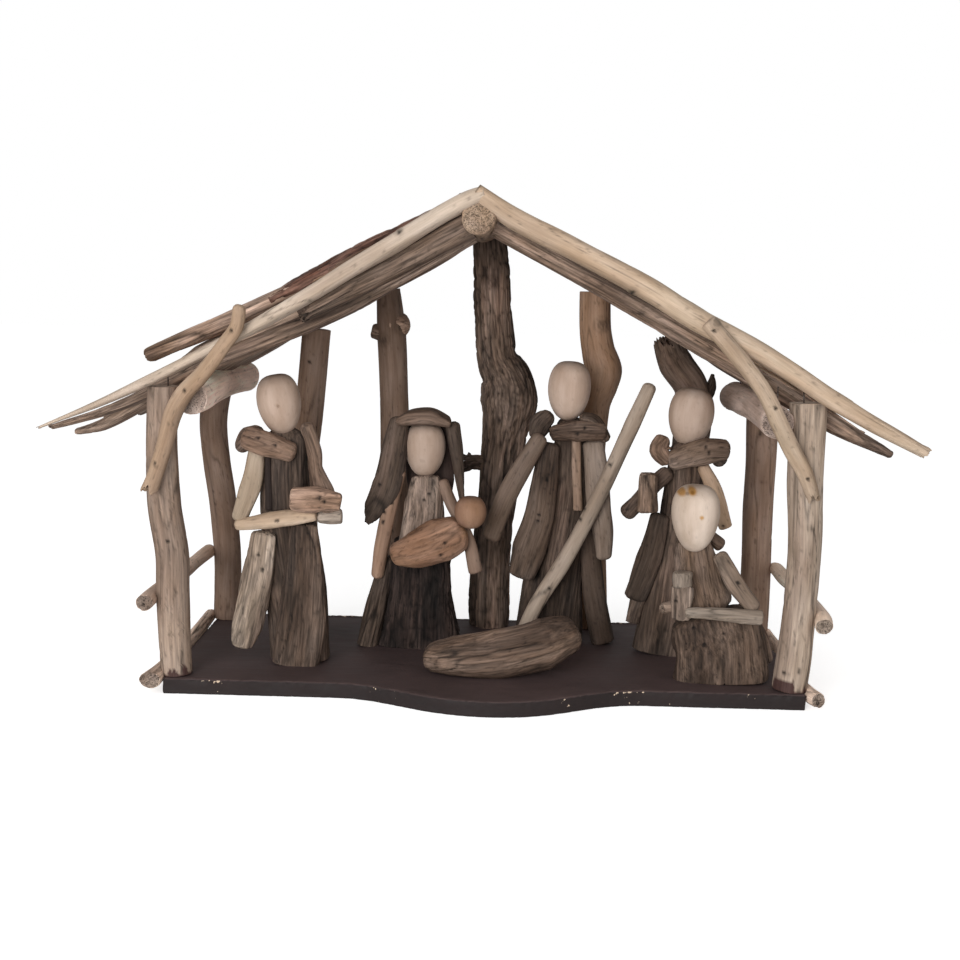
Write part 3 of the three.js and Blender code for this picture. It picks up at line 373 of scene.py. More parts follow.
@dataclass(frozen=True)
class Limb:
    """One stick or slat of driftwood, swept along a bent line. Sizes in mm above the board's top.

    Args:
        path: the points of its centre line.
        across: half widths seen from the front, one for each point or one for all.
        deep: half widths front to back, where they differ.
        power: 2 for a round section, more for a squarer one.
        gnarl: how lumpy the section is.
        seed: varies the lumps and the grain.
        facing: the side that the front of the section looks to.
        tone: its colours.
        skin: how weathered it is.
        ends: how the two ends are finished.
        nails: places of nail holes in its front.
        knots: places of knots in its front, each with a radius.
        shade: lightens or darkens it: partly its own tone, partly painted light and shade for how brightly it is lit.
        dip: how high the board's paint has run up its foot.
    """

    path: tuple[tuple[float, float, float], ...]
    across: tuple[float, ...]
    deep: tuple[float, ...] = ()
    power: float = 2.0
    gnarl: float = 0.04
    seed: int = 1
    facing: tuple[float, float, float] = FRONT
    tone: Tone = DRIFT
    skin: Skin = WORN_SKIN
    ends: tuple[End, End] = (End.WORN, End.WORN)
    nails: tuple[tuple[float, ...], ...] = ()
    knots: tuple[tuple[float, float, float], ...] = ()
    shade: float = 1.0
    dip: float = 0.0

    def halves(self, sizes: tuple[float, ...], share: np.ndarray) -> np.ndarray:
        """Reads a list of half widths at shares of the path from 0 to 1."""
        return np.interp(share, np.linspace(0, 1, max(len(sizes), 2)), sizes if len(sizes) > 1 else sizes * 2)

    def spine(self) -> tuple[np.ndarray, np.ndarray, np.ndarray]:
        """Runs a smooth line through the path.

        Returns:
            Its places, how far along each one is, and the share of the path there.
        """
        path = np.array(self.path, float)
        path[:, 2] += BOARD_TOP
        held = np.vstack([2 * path[0] - path[1], path, 2 * path[-1] - path[-2]])
        spans = len(path) - 1
        step = np.linspace(0, 1, 41)[:, None]
        places, shares = [], []
        for span in range(spans):
            p0, p1, p2, p3 = held[span : span + 4]
            d0, d1, d2 = (math.dist(*pair) ** 0.5 for pair in ((p0, p1), (p1, p2), (p2, p3)))
            lead = ((p1 - p0) / d0 - (p2 - p0) / (d0 + d1) + (p2 - p1) / d1) * d1
            tail = ((p2 - p1) / d1 - (p3 - p1) / (d1 + d2) + (p3 - p2) / d2) * d1
            bend = -3 * p1 + 3 * p2 - 2 * lead - tail
            twist = 2 * p1 - 2 * p2 + lead + tail
            part = p1 + lead * step + bend * step**2 + twist * step**3
            last = None if span == spans - 1 else -1
            places.append(part[:last])
            shares.append(((span + step[:, 0]) / spans)[:last])
        line = np.vstack(places)
        run = np.concatenate([[0], np.cumsum(np.linalg.norm(np.diff(line, axis=0), axis=1))])
        return line, run, np.concatenate(shares)

    def rows(self, length: float, pitch: float) -> tuple[np.ndarray, np.ndarray, np.ndarray]:
        """Lays out the rows of the skin from tip to tip.

        Args:
            length: length of the limb.
            pitch: how close the rows lie along it.

        Returns:
            How far along each row is, how wide it is from 0 to 1, and 1 for rows on an end face.
        """
        caps = []
        for end, at in zip(self.ends, (0, -1)):
            corner, depth, _, _ = end.value
            half = min(self.across[at], (self.deep or self.across)[at])
            flat = np.linspace(0, 1 - corner, max(2, round(half * (1 - corner) / 0.8)))
            turn = np.linspace(0, math.pi / 2, 6)[1:]
            width = np.concatenate([flat, 1 - corner + corner * np.sin(turn)])
            inset = np.concatenate([flat * 0, depth * half * (1 - np.cos(turn))])
            face = np.concatenate([flat * 0 + 1, np.cos(turn) * (corner < 0.3)])
            caps.append((inset, width, face))
        (first, first_width, first_face), (last, last_width, last_face) = caps
        start, stop = first[-1], length - last[-1]
        middle = np.linspace(start, stop, max(4, round((stop - start) / pitch)))[1:-1]
        run = np.concatenate([first, middle, length - last[::-1]])
        width = np.concatenate([first_width, middle * 0 + 1, last_width[::-1]])
        return run, width, np.concatenate([first_face, middle * 0, last_face[::-1]])

    def splinters(self, run: np.ndarray, length: float, grain: np.ndarray) -> np.ndarray:
        """Draws the rows near a torn end back by a different amount at each fibre.

        Args:
            run: how far along each place is.
            length: length of the limb.
            grain: straightened coordinates of each place.

        Returns:
            How far along each place is after the tear.
        """
        torn = run.copy()
        for end, at in zip(self.ends, (0, -1)):
            tear = end.value[2]
            if not tear:
                continue
            half = (self.across[at] + (self.deep or self.across)[at]) / 2
            reach = tear * (0.9 * half + 2.2)
            flat = grain.copy()
            flat[..., 2] = self.seed * 13 + at
            bite = Pattern.SPLINTER.at(flat) * 0.6 + Pattern.FINE_SPLINTER.at(flat) * 0.4
            bite = above(bite, 0.3, 0.72) ** 1.3 * reach
            room = 2.6 * reach + 1
            away = run if at == 0 else length - run
            pull = bite * np.clip(1 - away / room, 0, 1) ** 2
            torn += pull if at == 0 else -pull
        return torn

    def counts(self) -> tuple[int, int]:
        """How many columns and rows the skin needs."""
        _, run, _ = self.spine()
        pitch = FINE_PITCH if run[-1] < FINE_LENGTH else BROAD_PITCH
        wide = max(self.across)
        deep = max(self.deep or self.across)
        columns = round(math.pi * (wide + deep) / pitch[0] / 2) * 2
        return max(16, columns), len(self.rows(run[-1], pitch[1])[0]) - 1

    def shell(self) -> Shell:
        """Sweeps, tears and weathers the limb.

        Returns:
            Its carved skin.
        """
        line, length_run, shares = self.spine()
        length = length_run[-1]
        pitch = FINE_PITCH if length < FINE_LENGTH else BROAD_PITCH
        run, width, faces = self.rows(length, pitch[1])
        columns = self.counts()[0]
        angle = -np.arange(columns) * math.tau / columns
        deep = self.deep or self.across
        sine, cosine = np.sin(angle), np.cos(angle)
        square = (np.abs(sine) ** self.power + np.abs(cosine) ** self.power) ** (-1 / self.power)
        share = np.interp(run, length_run, shares)
        part = run[:, None] / length
        swell = np.sin(2 * angle + self.seed * 2.3 + part * 5) + np.sin(3 * angle + self.seed * 1.1 - part * 8)
        radius = square * width[:, None] * (1 + self.gnarl * swell)
        lateral = sine * radius * self.halves(self.across, share)[:, None]
        depth = cosine * radius * self.halves(deep, share)[:, None]
        along = np.broadcast_to(run[:, None], lateral.shape) + self.seed * 173.3
        grain = np.stack([lateral, depth, along], axis=-1)
        grain[0], grain[-1] = grain[0].mean(axis=0), grain[-1].mean(axis=0)
        torn = self.splinters(np.broadcast_to(run[:, None], lateral.shape), length, grain)

        centre = np.stack([np.interp(torn, length_run, line[:, axis]) for axis in range(3)], axis=-1)
        tangents = unit(np.gradient(line, length_run, axis=0))
        tangent = unit(np.stack([np.interp(torn, length_run, tangents[:, axis]) for axis in range(3)], axis=-1))
        facing = np.array(self.facing)
        forward = unit(facing - tangent * (tangent @ facing)[..., None])
        sideways = np.cross(tangent, forward)
        points = centre + sideways * lateral[..., None] + forward * depth[..., None]

        near = np.where(run < length / 2, self.ends[0].value[3], self.ends[1].value[3])
        rim = np.clip(1 - np.minimum(run, length - run) / 3.5, 0, 1)
        porous = np.broadcast_to((near * np.maximum(faces, 0.5 * rim))[:, None], lateral.shape)
        ends = np.broadcast_to(faces[:, None], lateral.shape)
        carved = weather(points, grain, self.skin, self.tone, self.shade, ends, porous)
        self.raise_knots(carved)
        # Nail holes: sunk a little and darkened with painted shade.
        sink(carved, self.nails, NAIL_RADIUS, NAIL_DEPTH, HOLE_SHADE)
        if self.dip:
            dip_in_paint(carved, self.dip)
        return carved

    def raise_knots(self, carved: Shell) -> None:
        """Swells the front around each knot and rings it with dark grain.

        Args:
            carved: the skin, changed in place.
        """
        normals = surface_normals(carved.points)
        for x, z, radius in self.knots:
            away = np.hypot(carved.points[..., 0] - x, carved.points[..., 2] - BOARD_TOP - z) / radius
            near = np.clip(1.6 - away, 0, 1) * (normals[..., 1] < 0.2)
            ring = 0.5 + 0.5 * np.cos(away * 11)
            lift = near * (0.28 * radius * np.exp(-(away**2)) - 0.12 * ring)
            carved.points += normals * lift[..., None]
            carved.tone[..., :3] *= (1 - near * (0.2 + 0.35 * ring * (away > 0.35) + 0.35 * (away < 0.3)))[..., None]


@dataclass(frozen=True)
class Pebble:
    """One egg of sea-worn wood, narrower at its lower end. Sizes in mm above the board's top.

    Args:
        centre: its middle.
        radius: half its width.
        height: half its height.
        taper: how much narrower the lower end is.
        lean: how far its top tips to the side.
        tone: its colours.
        skin: how weathered it is.
        seed: varies its grain.
        stains: places of marks in its front, each with a radius where one differs.
        resin: places of amber spots, the same way.
        shade: lightens or darkens it: partly its own tone, partly painted light and shade for how brightly it is lit.
    """

    centre: tuple[float, float, float]
    radius: float
    height: float
    taper: float = 0.12
    lean: float = 0.0
    tone: Tone = CREAM
    skin: Skin = HEAD_SKIN
    seed: int = 1
    stains: tuple[tuple[float, ...], ...] = ()
    resin: tuple[tuple[float, ...], ...] = ()
    shade: float = 1.0

    def counts(self) -> tuple[int, int]:
        """How many columns and rows the skin needs."""
        return round(math.tau * self.radius / 1.4) * 2, round(math.pi * self.height / 0.8)

    def shell(self) -> Shell:
        """Turns and weathers the egg, with painted shade over its top.

        Returns:
            Its carved skin.
        """
        columns, rows = self.counts()
        around = np.arange(columns) * math.tau / columns
        down = (math.pi * np.arange(rows + 1) / rows)[:, None]
        blunt = np.sin(down) ** (0.85 - 0.17 * np.clip(np.cos(down), 0, 1))
        reach = self.radius * blunt * (1 - self.taper * (1 - np.cos(down)))
        grain = np.stack([
            reach * np.sin(around), reach * np.cos(around),
            np.broadcast_to(self.height * np.cos(down) + self.seed * 91.7, (rows + 1, columns)),
        ], axis=-1)
        upright = np.stack([
            grain[..., 0], -grain[..., 1], np.broadcast_to(self.height * np.cos(down), (rows + 1, columns)),
        ], axis=-1)
        turn = np.array(Matrix.Rotation(self.lean, 3, "Y"))
        points = upright @ turn.T + np.array(self.centre) + (0, 0, BOARD_TOP)
        plain = np.zeros((rows + 1, columns))
        carved = weather(points, grain, self.skin, self.tone, self.shade, plain, plain)
        # Painted shade: the top of the egg is darkened, as the light falls off over it.
        carved.tone[..., :3] *= 1 - 0.3 * above(np.broadcast_to(np.cos(down), plain.shape), 0.62, 0.97)[..., None]
        sink(carved, self.stains, 0.9, 0.3, STAIN)
        sink(carved, self.resin, 1.5, 0.0, RESIN)
        return carved


@dataclass(frozen=True)
class WoodFinish:
    """A weathered wood, as a material.

    Args:
        name: the start of the material's name, which ends in _weathered.
        streak: how dark the fine grain lines are.
        fleck: how dark the small pores are.
        relief: depth of the fine grain, in mm.
        roughness: how dull the surface is.
        warmth: 1 keeps the colour, less greys it.
    """

    name: str
    streak: float = 0.3
    fleck: float = 0.25
    relief: float = 0.22
    roughness: float = 0.82
    warmth: float = 1.0

    STREAKS: ClassVar[tuple[float, float, float]] = (0.85, 0.85, 0.035)
    HAIRS: ClassVar[tuple[float, float, float]] = (2.6, 2.6, 0.13)
    PORES: ClassVar[tuple[float, float, float]] = (1.5, 1.5, 0.5)
    CLOUDS: ClassVar[tuple[float, float, float]] = (0.11, 0.11, 0.03)
    HOLES: ClassVar[tuple[float, float, float]] = (1.5, 1.5, 1.5)

    def material(self) -> bpy.types.Material:
        """Makes the material once and hands it out again after that.

        Returns:
            The material of this finish.
        """
        title = self.name + "_weathered"
        if title in bpy.data.materials:
            return bpy.data.materials[title]
        made = bpy.data.materials.new(title)
        made.use_nodes = True
        net = NodeNet(made)
        grain = net.add("ShaderNodeAttribute", attribute_name="grain").outputs["Vector"]
        shown = net.add("ShaderNodeAttribute", attribute_name="shown").outputs["Fac"]
        painted = net.add("ShaderNodeAttribute", attribute_name="tone")
        tone, porous = painted.outputs["Color"], painted.outputs["Alpha"]
        streaks = net.grain_noise(grain, self.STREAKS, 4.0)
        hairs = net.grain_noise(grain, self.HAIRS, 3.0)
        pores = net.grain_noise(grain, self.PORES, 2.0)
        clouds = net.grain_noise(grain, self.CLOUDS, 3.0)
        # Painted shade: the open pores of the end grain are darkened.
        end_pore_shade = net.span(net.grain_noise(grain, self.HOLES, 2.0), 0.47, 0.39, 0.0, 1.0)
        end_pore_shade = net.math("MULTIPLY", end_pore_shade, porous)
        lines = net.span(streaks, 0.34, 0.62, 1 - self.streak, 1 + 0.5 * self.streak)
        fine = net.span(hairs, 0.34, 0.6, 1 - 0.6 * self.streak, 1 + 0.25 * self.streak)
        flecks = net.span(pores, 0.28, 0.36, 1 - self.fleck, 1.0)
        flecks = net.math("MULTIPLY", flecks, net.span(end_pore_shade, 0.0, 1.0, 1.0, 0.3))
        drift = net.span(clouds, 0.3, 0.7, 0.84, 1.14)
        strength = net.math("MULTIPLY", net.math("SUBTRACT", net.math("MULTIPLY", lines, fine), 1.0), shown)
        factor = net.math("MULTIPLY", net.math("ADD", strength, 1.0), net.math("MULTIPLY", flecks, drift))
        shaded = net.scale(tone, factor)
        hue = net.add("ShaderNodeHueSaturation")
        net.join(net.span(clouds, 0.25, 0.75, self.warmth * 1.12, self.warmth * 0.86), hue.inputs["Saturation"])
        net.join(shaded, hue.inputs["Color"])
        net.join(hue.outputs["Color"], net.shader.inputs["Base Color"])
        rough = net.span(streaks, 0.3, 0.7, self.roughness + 0.08, self.roughness - 0.08)
        net.join(rough, net.shader.inputs["Roughness"])
        height = net.math("ADD", strength, net.math("MULTIPLY", flecks, 0.5))
        bump = net.add("ShaderNodeBump")
        bump.inputs["Strength"].default_value = 0.7
        bump.inputs["Distance"].default_value = self.relief * MM
        net.join(height, bump.inputs["Height"])
        net.join(bump.outputs["Normal"], net.shader.inputs["Normal"])
        net.shader.inputs["Specular IOR Level"].default_value = 0.25
        return made


class NodeNet:
    """A small helper that adds and joins the nodes of one material."""

    def __init__(self, made: bpy.types.Material) -> None:
        """Takes a material that already uses nodes."""
        self.tree = made.node_tree
        self.shader = self.tree.nodes["Principled BSDF"]

    def add(self, kind: str, **settings: object) -> bpy.types.Node:
        """Adds a node and sets its options."""
        node = self.tree.nodes.new(kind)
        for name, value in settings.items():
            setattr(node, name, value)
        return node

    def join(self, source: bpy.types.NodeSocket | float, target: bpy.types.NodeSocket) -> None:
        """Links a socket to another, or sets a number on it."""
        if isinstance(source, (int, float)):
            target.default_value = source
        else:
            self.tree.links.new(source, target)

    def math(self, operation: str, one: object, two: object) -> bpy.types.NodeSocket:
        """Adds a sum or product of two values."""
        node = self.add("ShaderNodeMath", operation=operation)
        self.join(one, node.inputs[0])
        self.join(two, node.inputs[1])
        return node.outputs[0]

    def scale(self, vector: bpy.types.NodeSocket, factor: bpy.types.NodeSocket) -> bpy.types.NodeSocket:
        """Multiplies a colour or vector by a number."""
        node = self.add("ShaderNodeVectorMath", operation="SCALE")
        self.join(vector, node.inputs[0])
        self.join(factor, node.inputs["Scale"])
        return node.outputs[0]

    def span(self, value: object, low: float, high: float, start: float, stop: float) -> bpy.types.NodeSocket:
        """Maps a value from one range to another, held at both ends.

        Args:
            value: the socket to read.
            low: the value that gives start.
            high: the value that gives stop.
            start: the result at low.
            stop: the result at high.

        Returns:
            The mapped value.
        """
        node = self.add("ShaderNodeMapRange")
        for socket, number in zip(list(node.inputs)[1:5], (low, high, start, stop)):
            socket.default_value = number
        self.join(value, node.inputs[0])
        return node.outputs[0]

    def noise(self, vector: bpy.types.NodeSocket, scale: float, detail: float) -> bpy.types.NodeSocket:
        """Adds a noise texture and gives its value."""
        node = self.add("ShaderNodeTexNoise")
        node.inputs["Scale"].default_value = scale
        node.inputs["Detail"].default_value = detail
        self.join(vector, node.inputs["Vector"])
        return node.outputs[0]

    def grain_noise(
        self, grain: bpy.types.NodeSocket, stretch: tuple[float, float, float], detail: float
    ) -> bpy.types.NodeSocket:
        """Adds noise that is drawn out along the grain.

        Args:
            grain: the straightened coordinates, in mm.
            stretch: features for each mm across, deep and along.
            detail: how much fine noise is added.

        Returns:
            The noise value.
        """
        node = self.add("ShaderNodeMapping")
        node.inputs["Scale"].default_value = stretch
        self.join(grain, node.inputs["Vector"])
        return self.noise(node.outputs[0], 1.0, detail)


BLEACHED_WOOD = WoodFinish("bleached_wood", streak=0.34, fleck=0.14, relief=0.14, roughness=0.78)
SAND_WOOD = WoodFinish("sand_wood", streak=0.38, fleck=0.2, relief=0.18, roughness=0.8)
GREY_WOOD = WoodFinish("grey_wood", streak=0.46, fleck=0.2, relief=0.25, warmth=0.92)
UMBER_WOOD = WoodFinish("umber_wood", streak=0.46, fleck=0.22, relief=0.28)
CHARRED_WOOD = WoodFinish("charred_wood", streak=0.48, fleck=0.25, relief=0.34, roughness=0.88)
RUSSET_WOOD = WoodFinish("russet_wood", streak=0.42, fleck=0.22, relief=0.26, warmth=1.05)
BISCUIT_WOOD = WoodFinish("biscuit_wood", streak=0.32, fleck=0.16, relief=0.18, roughness=0.78)
CREAM_WOOD = WoodFinish("cream_wood", streak=0.2, fleck=0.1, relief=0.06, roughness=0.62)


def new_piece(name: str, work: bmesh.types.BMesh) -> bpy.types.Object:
    """Turns a bmesh into a smooth object in the scene, and frees it.

    Args:
        name: what the object and its mesh are called.
        work: the bmesh.

    Returns:
        The object.
    """
    for face in work.faces:
        face.smooth = True
    mesh = bpy.data.meshes.new(name)
    work.to_mesh(mesh)
    work.free()
    piece = bpy.data.objects.new(name, mesh)
    bpy.context.scene.collection.objects.link(piece)
    return piece


@dataclass(frozen=True)
class Carving:
    """One piece of wood: its finish and the limbs that make it up."""

    finish: WoodFinish
    forms: tuple[Limb | Pebble, ...]

    def build(self, name: str) -> bpy.types.Object:
        """Carves all forms of the piece into one mesh.

        Args:
            name: what the piece is called.

        Returns:
            The finished piece.
        """
        work = bmesh.new()
        for index, form in enumerate(self.forms):
            columns, rows = form.counts()
            aside = Matrix.Translation((index * BALL_GAP, 0, 0))
            bmesh.ops.create_uvsphere(work, u_segments=columns, v_segments=rows, radius=1.0, matrix=aside)
        piece = new_piece(name, work)
        mesh = piece.data
        count = len(mesh.vertices)
        balls = np.empty(count * 3, np.float32)
        mesh.vertices.foreach_get("co", balls)
        balls = balls.reshape(-1, 3)
        owner = np.rint(balls[:, 0] / BALL_GAP).astype(int)
        points, grain = np.empty((2, count, 3), np.float32)
        tone, shown = np.empty((count, 4), np.float32), np.empty(count, np.float32)
        for index, form in enumerate(self.forms):
            columns, rows = form.counts()
            mine = owner == index
            x, y, z = (balls[mine] - (index * BALL_GAP, 0, 0)).T
            row = np.rint(np.arctan2(np.hypot(x, y), z) * rows / math.pi).astype(int)
            column = np.rint(np.arctan2(y, x) * columns / math.tau).astype(int) % columns
            shell = form.shell()
            for target, source in ((points, shell.points), (grain, shell.grain), (tone, shell.tone)):
                target[mine] = source[row, column]
            shown[mine] = form.skin.show
        mesh.vertices.foreach_set("co", (points * MM).ravel())
        mesh.attributes.new("grain", "FLOAT_VECTOR", "POINT").data.foreach_set("vector", grain.ravel())
        mesh.attributes.new("tone", "FLOAT_COLOR", "POINT").data.foreach_set("color", np.clip(tone, 0, 1).ravel())
        mesh.attributes.new("shown", "FLOAT", "POINT").data.foreach_set("value", shown)
        mesh.materials.append(self.finish.material())
        mesh.update()
        return piece


class Joinery:
    """A sub-assembly whose fields are its pieces, each named after the node that it stands for."""

    PREFIX: ClassVar[str] = ""

    def build(self) -> list[bpy.types.Object]:
        """Carves every piece and puts it in place of its plain solid.

        Returns:
            The pieces.
        """
        made = []
        for field in fields(self):
            carving = getattr(self, field.name)
            node = self.PREFIX + field.name
            piece = carving.build(node + "_carved")
            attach(piece, BODY)
            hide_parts(node)
            LOG.info("carved %s: %d faces", node, len(piece.data.polygons))
            made.append(piece)
        return made


@dataclass
class RoofBearers(Joinery):
    """The round logs that carry the roof: the ridge log and one purlin under each slope."""

    ridge_log: Carving = Carving(SAND_WOOD, (
        Limb(path=((-7.5, -84, 257.9), (-7.5, 0, 257.9), (-7.5, 82, 257.9)), across=(9.5,), facing=UPWARD,
            gnarl=0.015, seed=3, tone=HONEY, ends=(End.POROUS, End.WORN), shade=0.95),
    ))
    # The two purlins are the same ash wood; their different shade factors are painted light and shade for how
    # brightly each is lit.
    purlin_left: Carving = Carving(GREY_WOOD, (
        Limb(path=((-163.1, -78, 157.4), (-161.5, 0, 160.7), (-159.7, 72, 160.5)), across=(9.3,), facing=UPWARD,
            gnarl=0.015, seed=1, tone=ASH, skin=SMOOTH_SKIN, ends=(End.POROUS, End.WORN), shade=2.4),
    ))
    purlin_right: Carving = Carving(GREY_WOOD, (
        Limb(path=((157.3, -78, 151.2), (156.5, 0, 155.1), (154.8, 72, 154.9)), across=(9.3,), facing=UPWARD,
            gnarl=0.015, seed=1, tone=ASH, skin=SMOOTH_SKIN, ends=(End.POROUS, End.WORN), shade=1.35),
    ))


@dataclass
class LeftSlope(Joinery):
    """The left slope: a pale front stick, broken planks and a red-barked plank, ridge to eaves."""

    PREFIX: ClassVar[str] = "roof_left_"
    front_stick: Carving = Carving(BLEACHED_WOOD, (
        Limb(path=((-4.4, -79, 270.5), (-13.7, -79, 266.7), (-60, -79, 238.8), (-96.8, -79, 216.1),
            (-134, -79, 194.1), (-201.3, -79, 159.5), (-248.5, -79, 138.9)), across=(4.4, 5, 5, 4.4, 3.7, 2.6, 0.8),
            deep=(8, 8, 8, 8, 7, 5, 3), power=2.6, gnarl=0.025, seed=2, tone=BLEACHED, skin=SMOOTH_SKIN,
            ends=(End.SAWN, End.TORN), nails=((-49, 249.1),), knots=((-49.4, 249.6, 2.2),), shade=0.9),
    ))
    short_plank: Carving = Carving(GREY_WOOD, (
        Limb(path=((-12.4, -69.5, 254.1), (-55.2, -69.5, 230.4), (-105.4, -69.5, 203.8)), across=(7.2, 6.9, 5.2),
            deep=(8.5,), power=2.6, gnarl=0.025, seed=5, skin=OPEN_SKIN, ends=(End.SAWN, End.TORN), shade=0.65),
    ))
    long_plank: Carving = Carving(GREY_WOOD, (
        Limb(path=((-10.8, -49, 250.3), (-54.9, -49, 224.1), (-97.9, -49, 201.3), (-165.1, -49, 172.3),
            (-211.2, -49, 149.7), (-251.1, -49, 136.5)), across=(5.5, 5.5, 5.5, 4.6, 3.4, 1.6),
            deep=(11, 11, 11, 9, 7, 5), power=2.6, gnarl=0.025, seed=7, skin=OPEN_SKIN, ends=(End.SAWN, End.TORN),
            shade=1.2),
    ))
    forked_plank: Carving = Carving(UMBER_WOOD, (
        Limb(path=((-14.3, -25, 251.1), (-103.6, -25, 206.1), (-138.1, -25, 190.4), (-167.4, -25, 176.4),
            (-202.6, -25, 150.8), (-228.3, -25, 135.9), (-243.1, -25, 132)), across=(6, 7, 8, 8.2, 4.2, 3.4, 2),
            deep=(12, 12, 12, 12, 9, 8, 6), power=2.6, gnarl=0.025, seed=9, tone=DUST, skin=OPEN_SKIN,
            ends=(End.SAWN, End.WORN), shade=1.4),
    ))
    red_plank: Carving = Carving(RUSSET_WOOD, (
        Limb(path=((-12.3, -36, 269.8), (-82.1, -36, 234.1), (-110.3, -36, 218.3), (-139.4, -36, 203.9),
            (-169, -36, 190.4), (-198.1, -36, 177.8)), across=(4.9, 5, 5.1, 5.2, 5.1, 4.4), deep=(13,), power=2.6,
            gnarl=0.025, seed=11, skin=OPEN_SKIN, ends=(End.SAWN, End.WORN), shade=1.2),
        Limb(path=((-125, -37, 211.4), (-110.3, -37, 219.6), (-82.1, -37, 235.6), (-12.5, -37, 270.2)),
            across=(3.6, 4.8, 5, 4.6), deep=(12.6,), power=2.6, seed=93, tone=ROSE, skin=BARK_SKIN,
            ends=(End.SAWN, End.TORN)),
    ))
    rear_planks: Carving = Carving(GREY_WOOD, (
        Limb(path=((-15.6, 1.2, 253.3), (-103.7, 1.2, 206.2), (-166.2, 1.2, 168.7), (-216.3, 1.2, 143.2)),
            across=(6, 6, 5, 3.4), deep=(14.4,), power=2.6, gnarl=0.025, seed=19, tone=DUST, skin=OPEN_SKIN,
            ends=(End.SAWN, End.BLUNT)),
        Limb(path=((-17, 24, 255.9), (-105.1, 24, 208.8), (-167.7, 24, 171.3), (-238.2, 24, 134.5)),
            across=(6, 6, 5, 3.4), deep=(10.8,), power=2.6, gnarl=0.025, seed=20, skin=OPEN_SKIN,
            ends=(End.SAWN, End.BLUNT)),
        Limb(path=((-15.6, 45.5, 253.3), (-103.7, 45.5, 206.2), (-166.2, 45.5, 168.7), (-225.5, 45.5, 138.1)),
            across=(6, 6, 5, 3.4), deep=(13.1,), power=2.6, gnarl=0.025, seed=21, tone=DUST, skin=SMOOTH_SKIN,
            ends=(End.SAWN, End.TORN)),
        Limb(path=((-17, 69.7, 255.9), (-105.1, 69.7, 208.8), (-167.7, 69.7, 171.3), (-217.8, 69.7, 145.8)),
            across=(6, 6, 5, 3.4), deep=(13.5,), power=2.6, gnarl=0.025, seed=22, skin=OPEN_SKIN,
            ends=(End.SAWN, End.BLUNT)),
    ))


@dataclass
class RightSlope(Joinery):
    """The right slope: a pale front stick over weathered planks, ridge to eaves."""

    PREFIX: ClassVar[str] = "roof_right_"
    front_stick: Carving = Carving(BLEACHED_WOOD, (
        Limb(path=((-9.5, -78, 271.5), (12.2, -78, 257.6), (46.3, -78, 241.2), (84.9, -78, 221.7),
            (112.7, -78, 205.1), (146.8, -78, 188.5), (188.1, -78, 162.8), (239.6, -78, 135.9)),
            across=(4.8, 6, 6, 6.4, 6.2, 5.6, 5.3, 3.4), deep=(9, 9, 9, 9, 9, 9, 8, 6), power=2.6, gnarl=0.025,
            seed=4, tone=STRAW, skin=SMOOTH_SKIN, ends=(End.SAWN, End.TORN), nails=((75.9, 219.5),),
            knots=((75.5, 219.6, 2.6),), shade=0.95),
    ))
    long_plank: Carving = Carving(GREY_WOOD, (
        Limb(path=((0.7, -48, 253.7), (72.5, -48, 216), (136.3, -48, 180.8), (195.1, -48, 147.6),
            (227.8, -48, 131.5)), across=(5.5, 5.6, 5.6, 5.2, 2.4), deep=(11, 11, 11, 10, 6), power=2.6,
            gnarl=0.025, seed=6, skin=OPEN_SKIN, ends=(End.SAWN, End.WORN), shade=1.3),
    ))
    low_plank: Carving = Carving(UMBER_WOOD, (
        Limb(path=((1.8, -25, 255.5), (91.1, -25, 210.7), (143.2, -25, 182), (215.2, -25, 139.4)),
            across=(6, 7.2, 7, 3.4), deep=(11.5,), power=2.6, gnarl=0.025, seed=8, tone=DUST, skin=OPEN_SKIN,
            ends=(End.SAWN, End.TORN), shade=2.4),
    ))
    top_plank: Carving = Carving(RUSSET_WOOD, (
        Limb(path=((-3.6, -36, 268.2), (90.6, -36, 220.8), (147.3, -36, 189.6), (206, -36, 156.1)),
            across=(4.4, 5.2, 5.3, 4.2), deep=(12.5,), power=2.6, gnarl=0.025, seed=10, tone=STRAW,
            ends=(End.SAWN, End.WORN)),
    ))
    rear_planks: Carving = Carving(GREY_WOOD, (
        Limb(path=((1.9, -0.5, 255.8), (90, -0.5, 208.7), (152.6, -0.5, 171.1), (222.5, -0.5, 134.6)),
            across=(6, 6, 5, 3.4), deep=(12.7,), power=2.6, gnarl=0.025, seed=21, skin=OPEN_SKIN,
            ends=(End.SAWN, End.BLUNT)),
        Limb(path=((3, 22.1, 257.7), (91.1, 22.1, 210.6), (153.6, 22.1, 173), (214.1, 22.1, 141.8)),
            across=(6, 6, 5, 3.4), deep=(12.2,), power=2.6, gnarl=0.025, seed=22, tone=DUST, skin=OPEN_SKIN,
            ends=(End.SAWN, End.TORN)),
        Limb(path=((3.5, 47.3, 258.6), (91.6, 47.3, 211.4), (154.1, 47.3, 173.9), (203.7, 47.3, 148.7)),
            across=(6, 6, 5, 3.4), deep=(15.4,), power=2.6, gnarl=0.025, seed=23, skin=SMOOTH_SKIN,
            ends=(End.SAWN, End.BLUNT)),
        Limb(path=((4, 71.7, 259.6), (92.1, 71.7, 212.5), (154.7, 71.7, 175), (224.7, 71.7, 138.4)),
            across=(6, 6, 5, 3.4), deep=(11.5,), power=2.6, gnarl=0.025, seed=24, tone=DUST, skin=OPEN_SKIN,
            ends=(End.SAWN, End.BLUNT)),
    ))


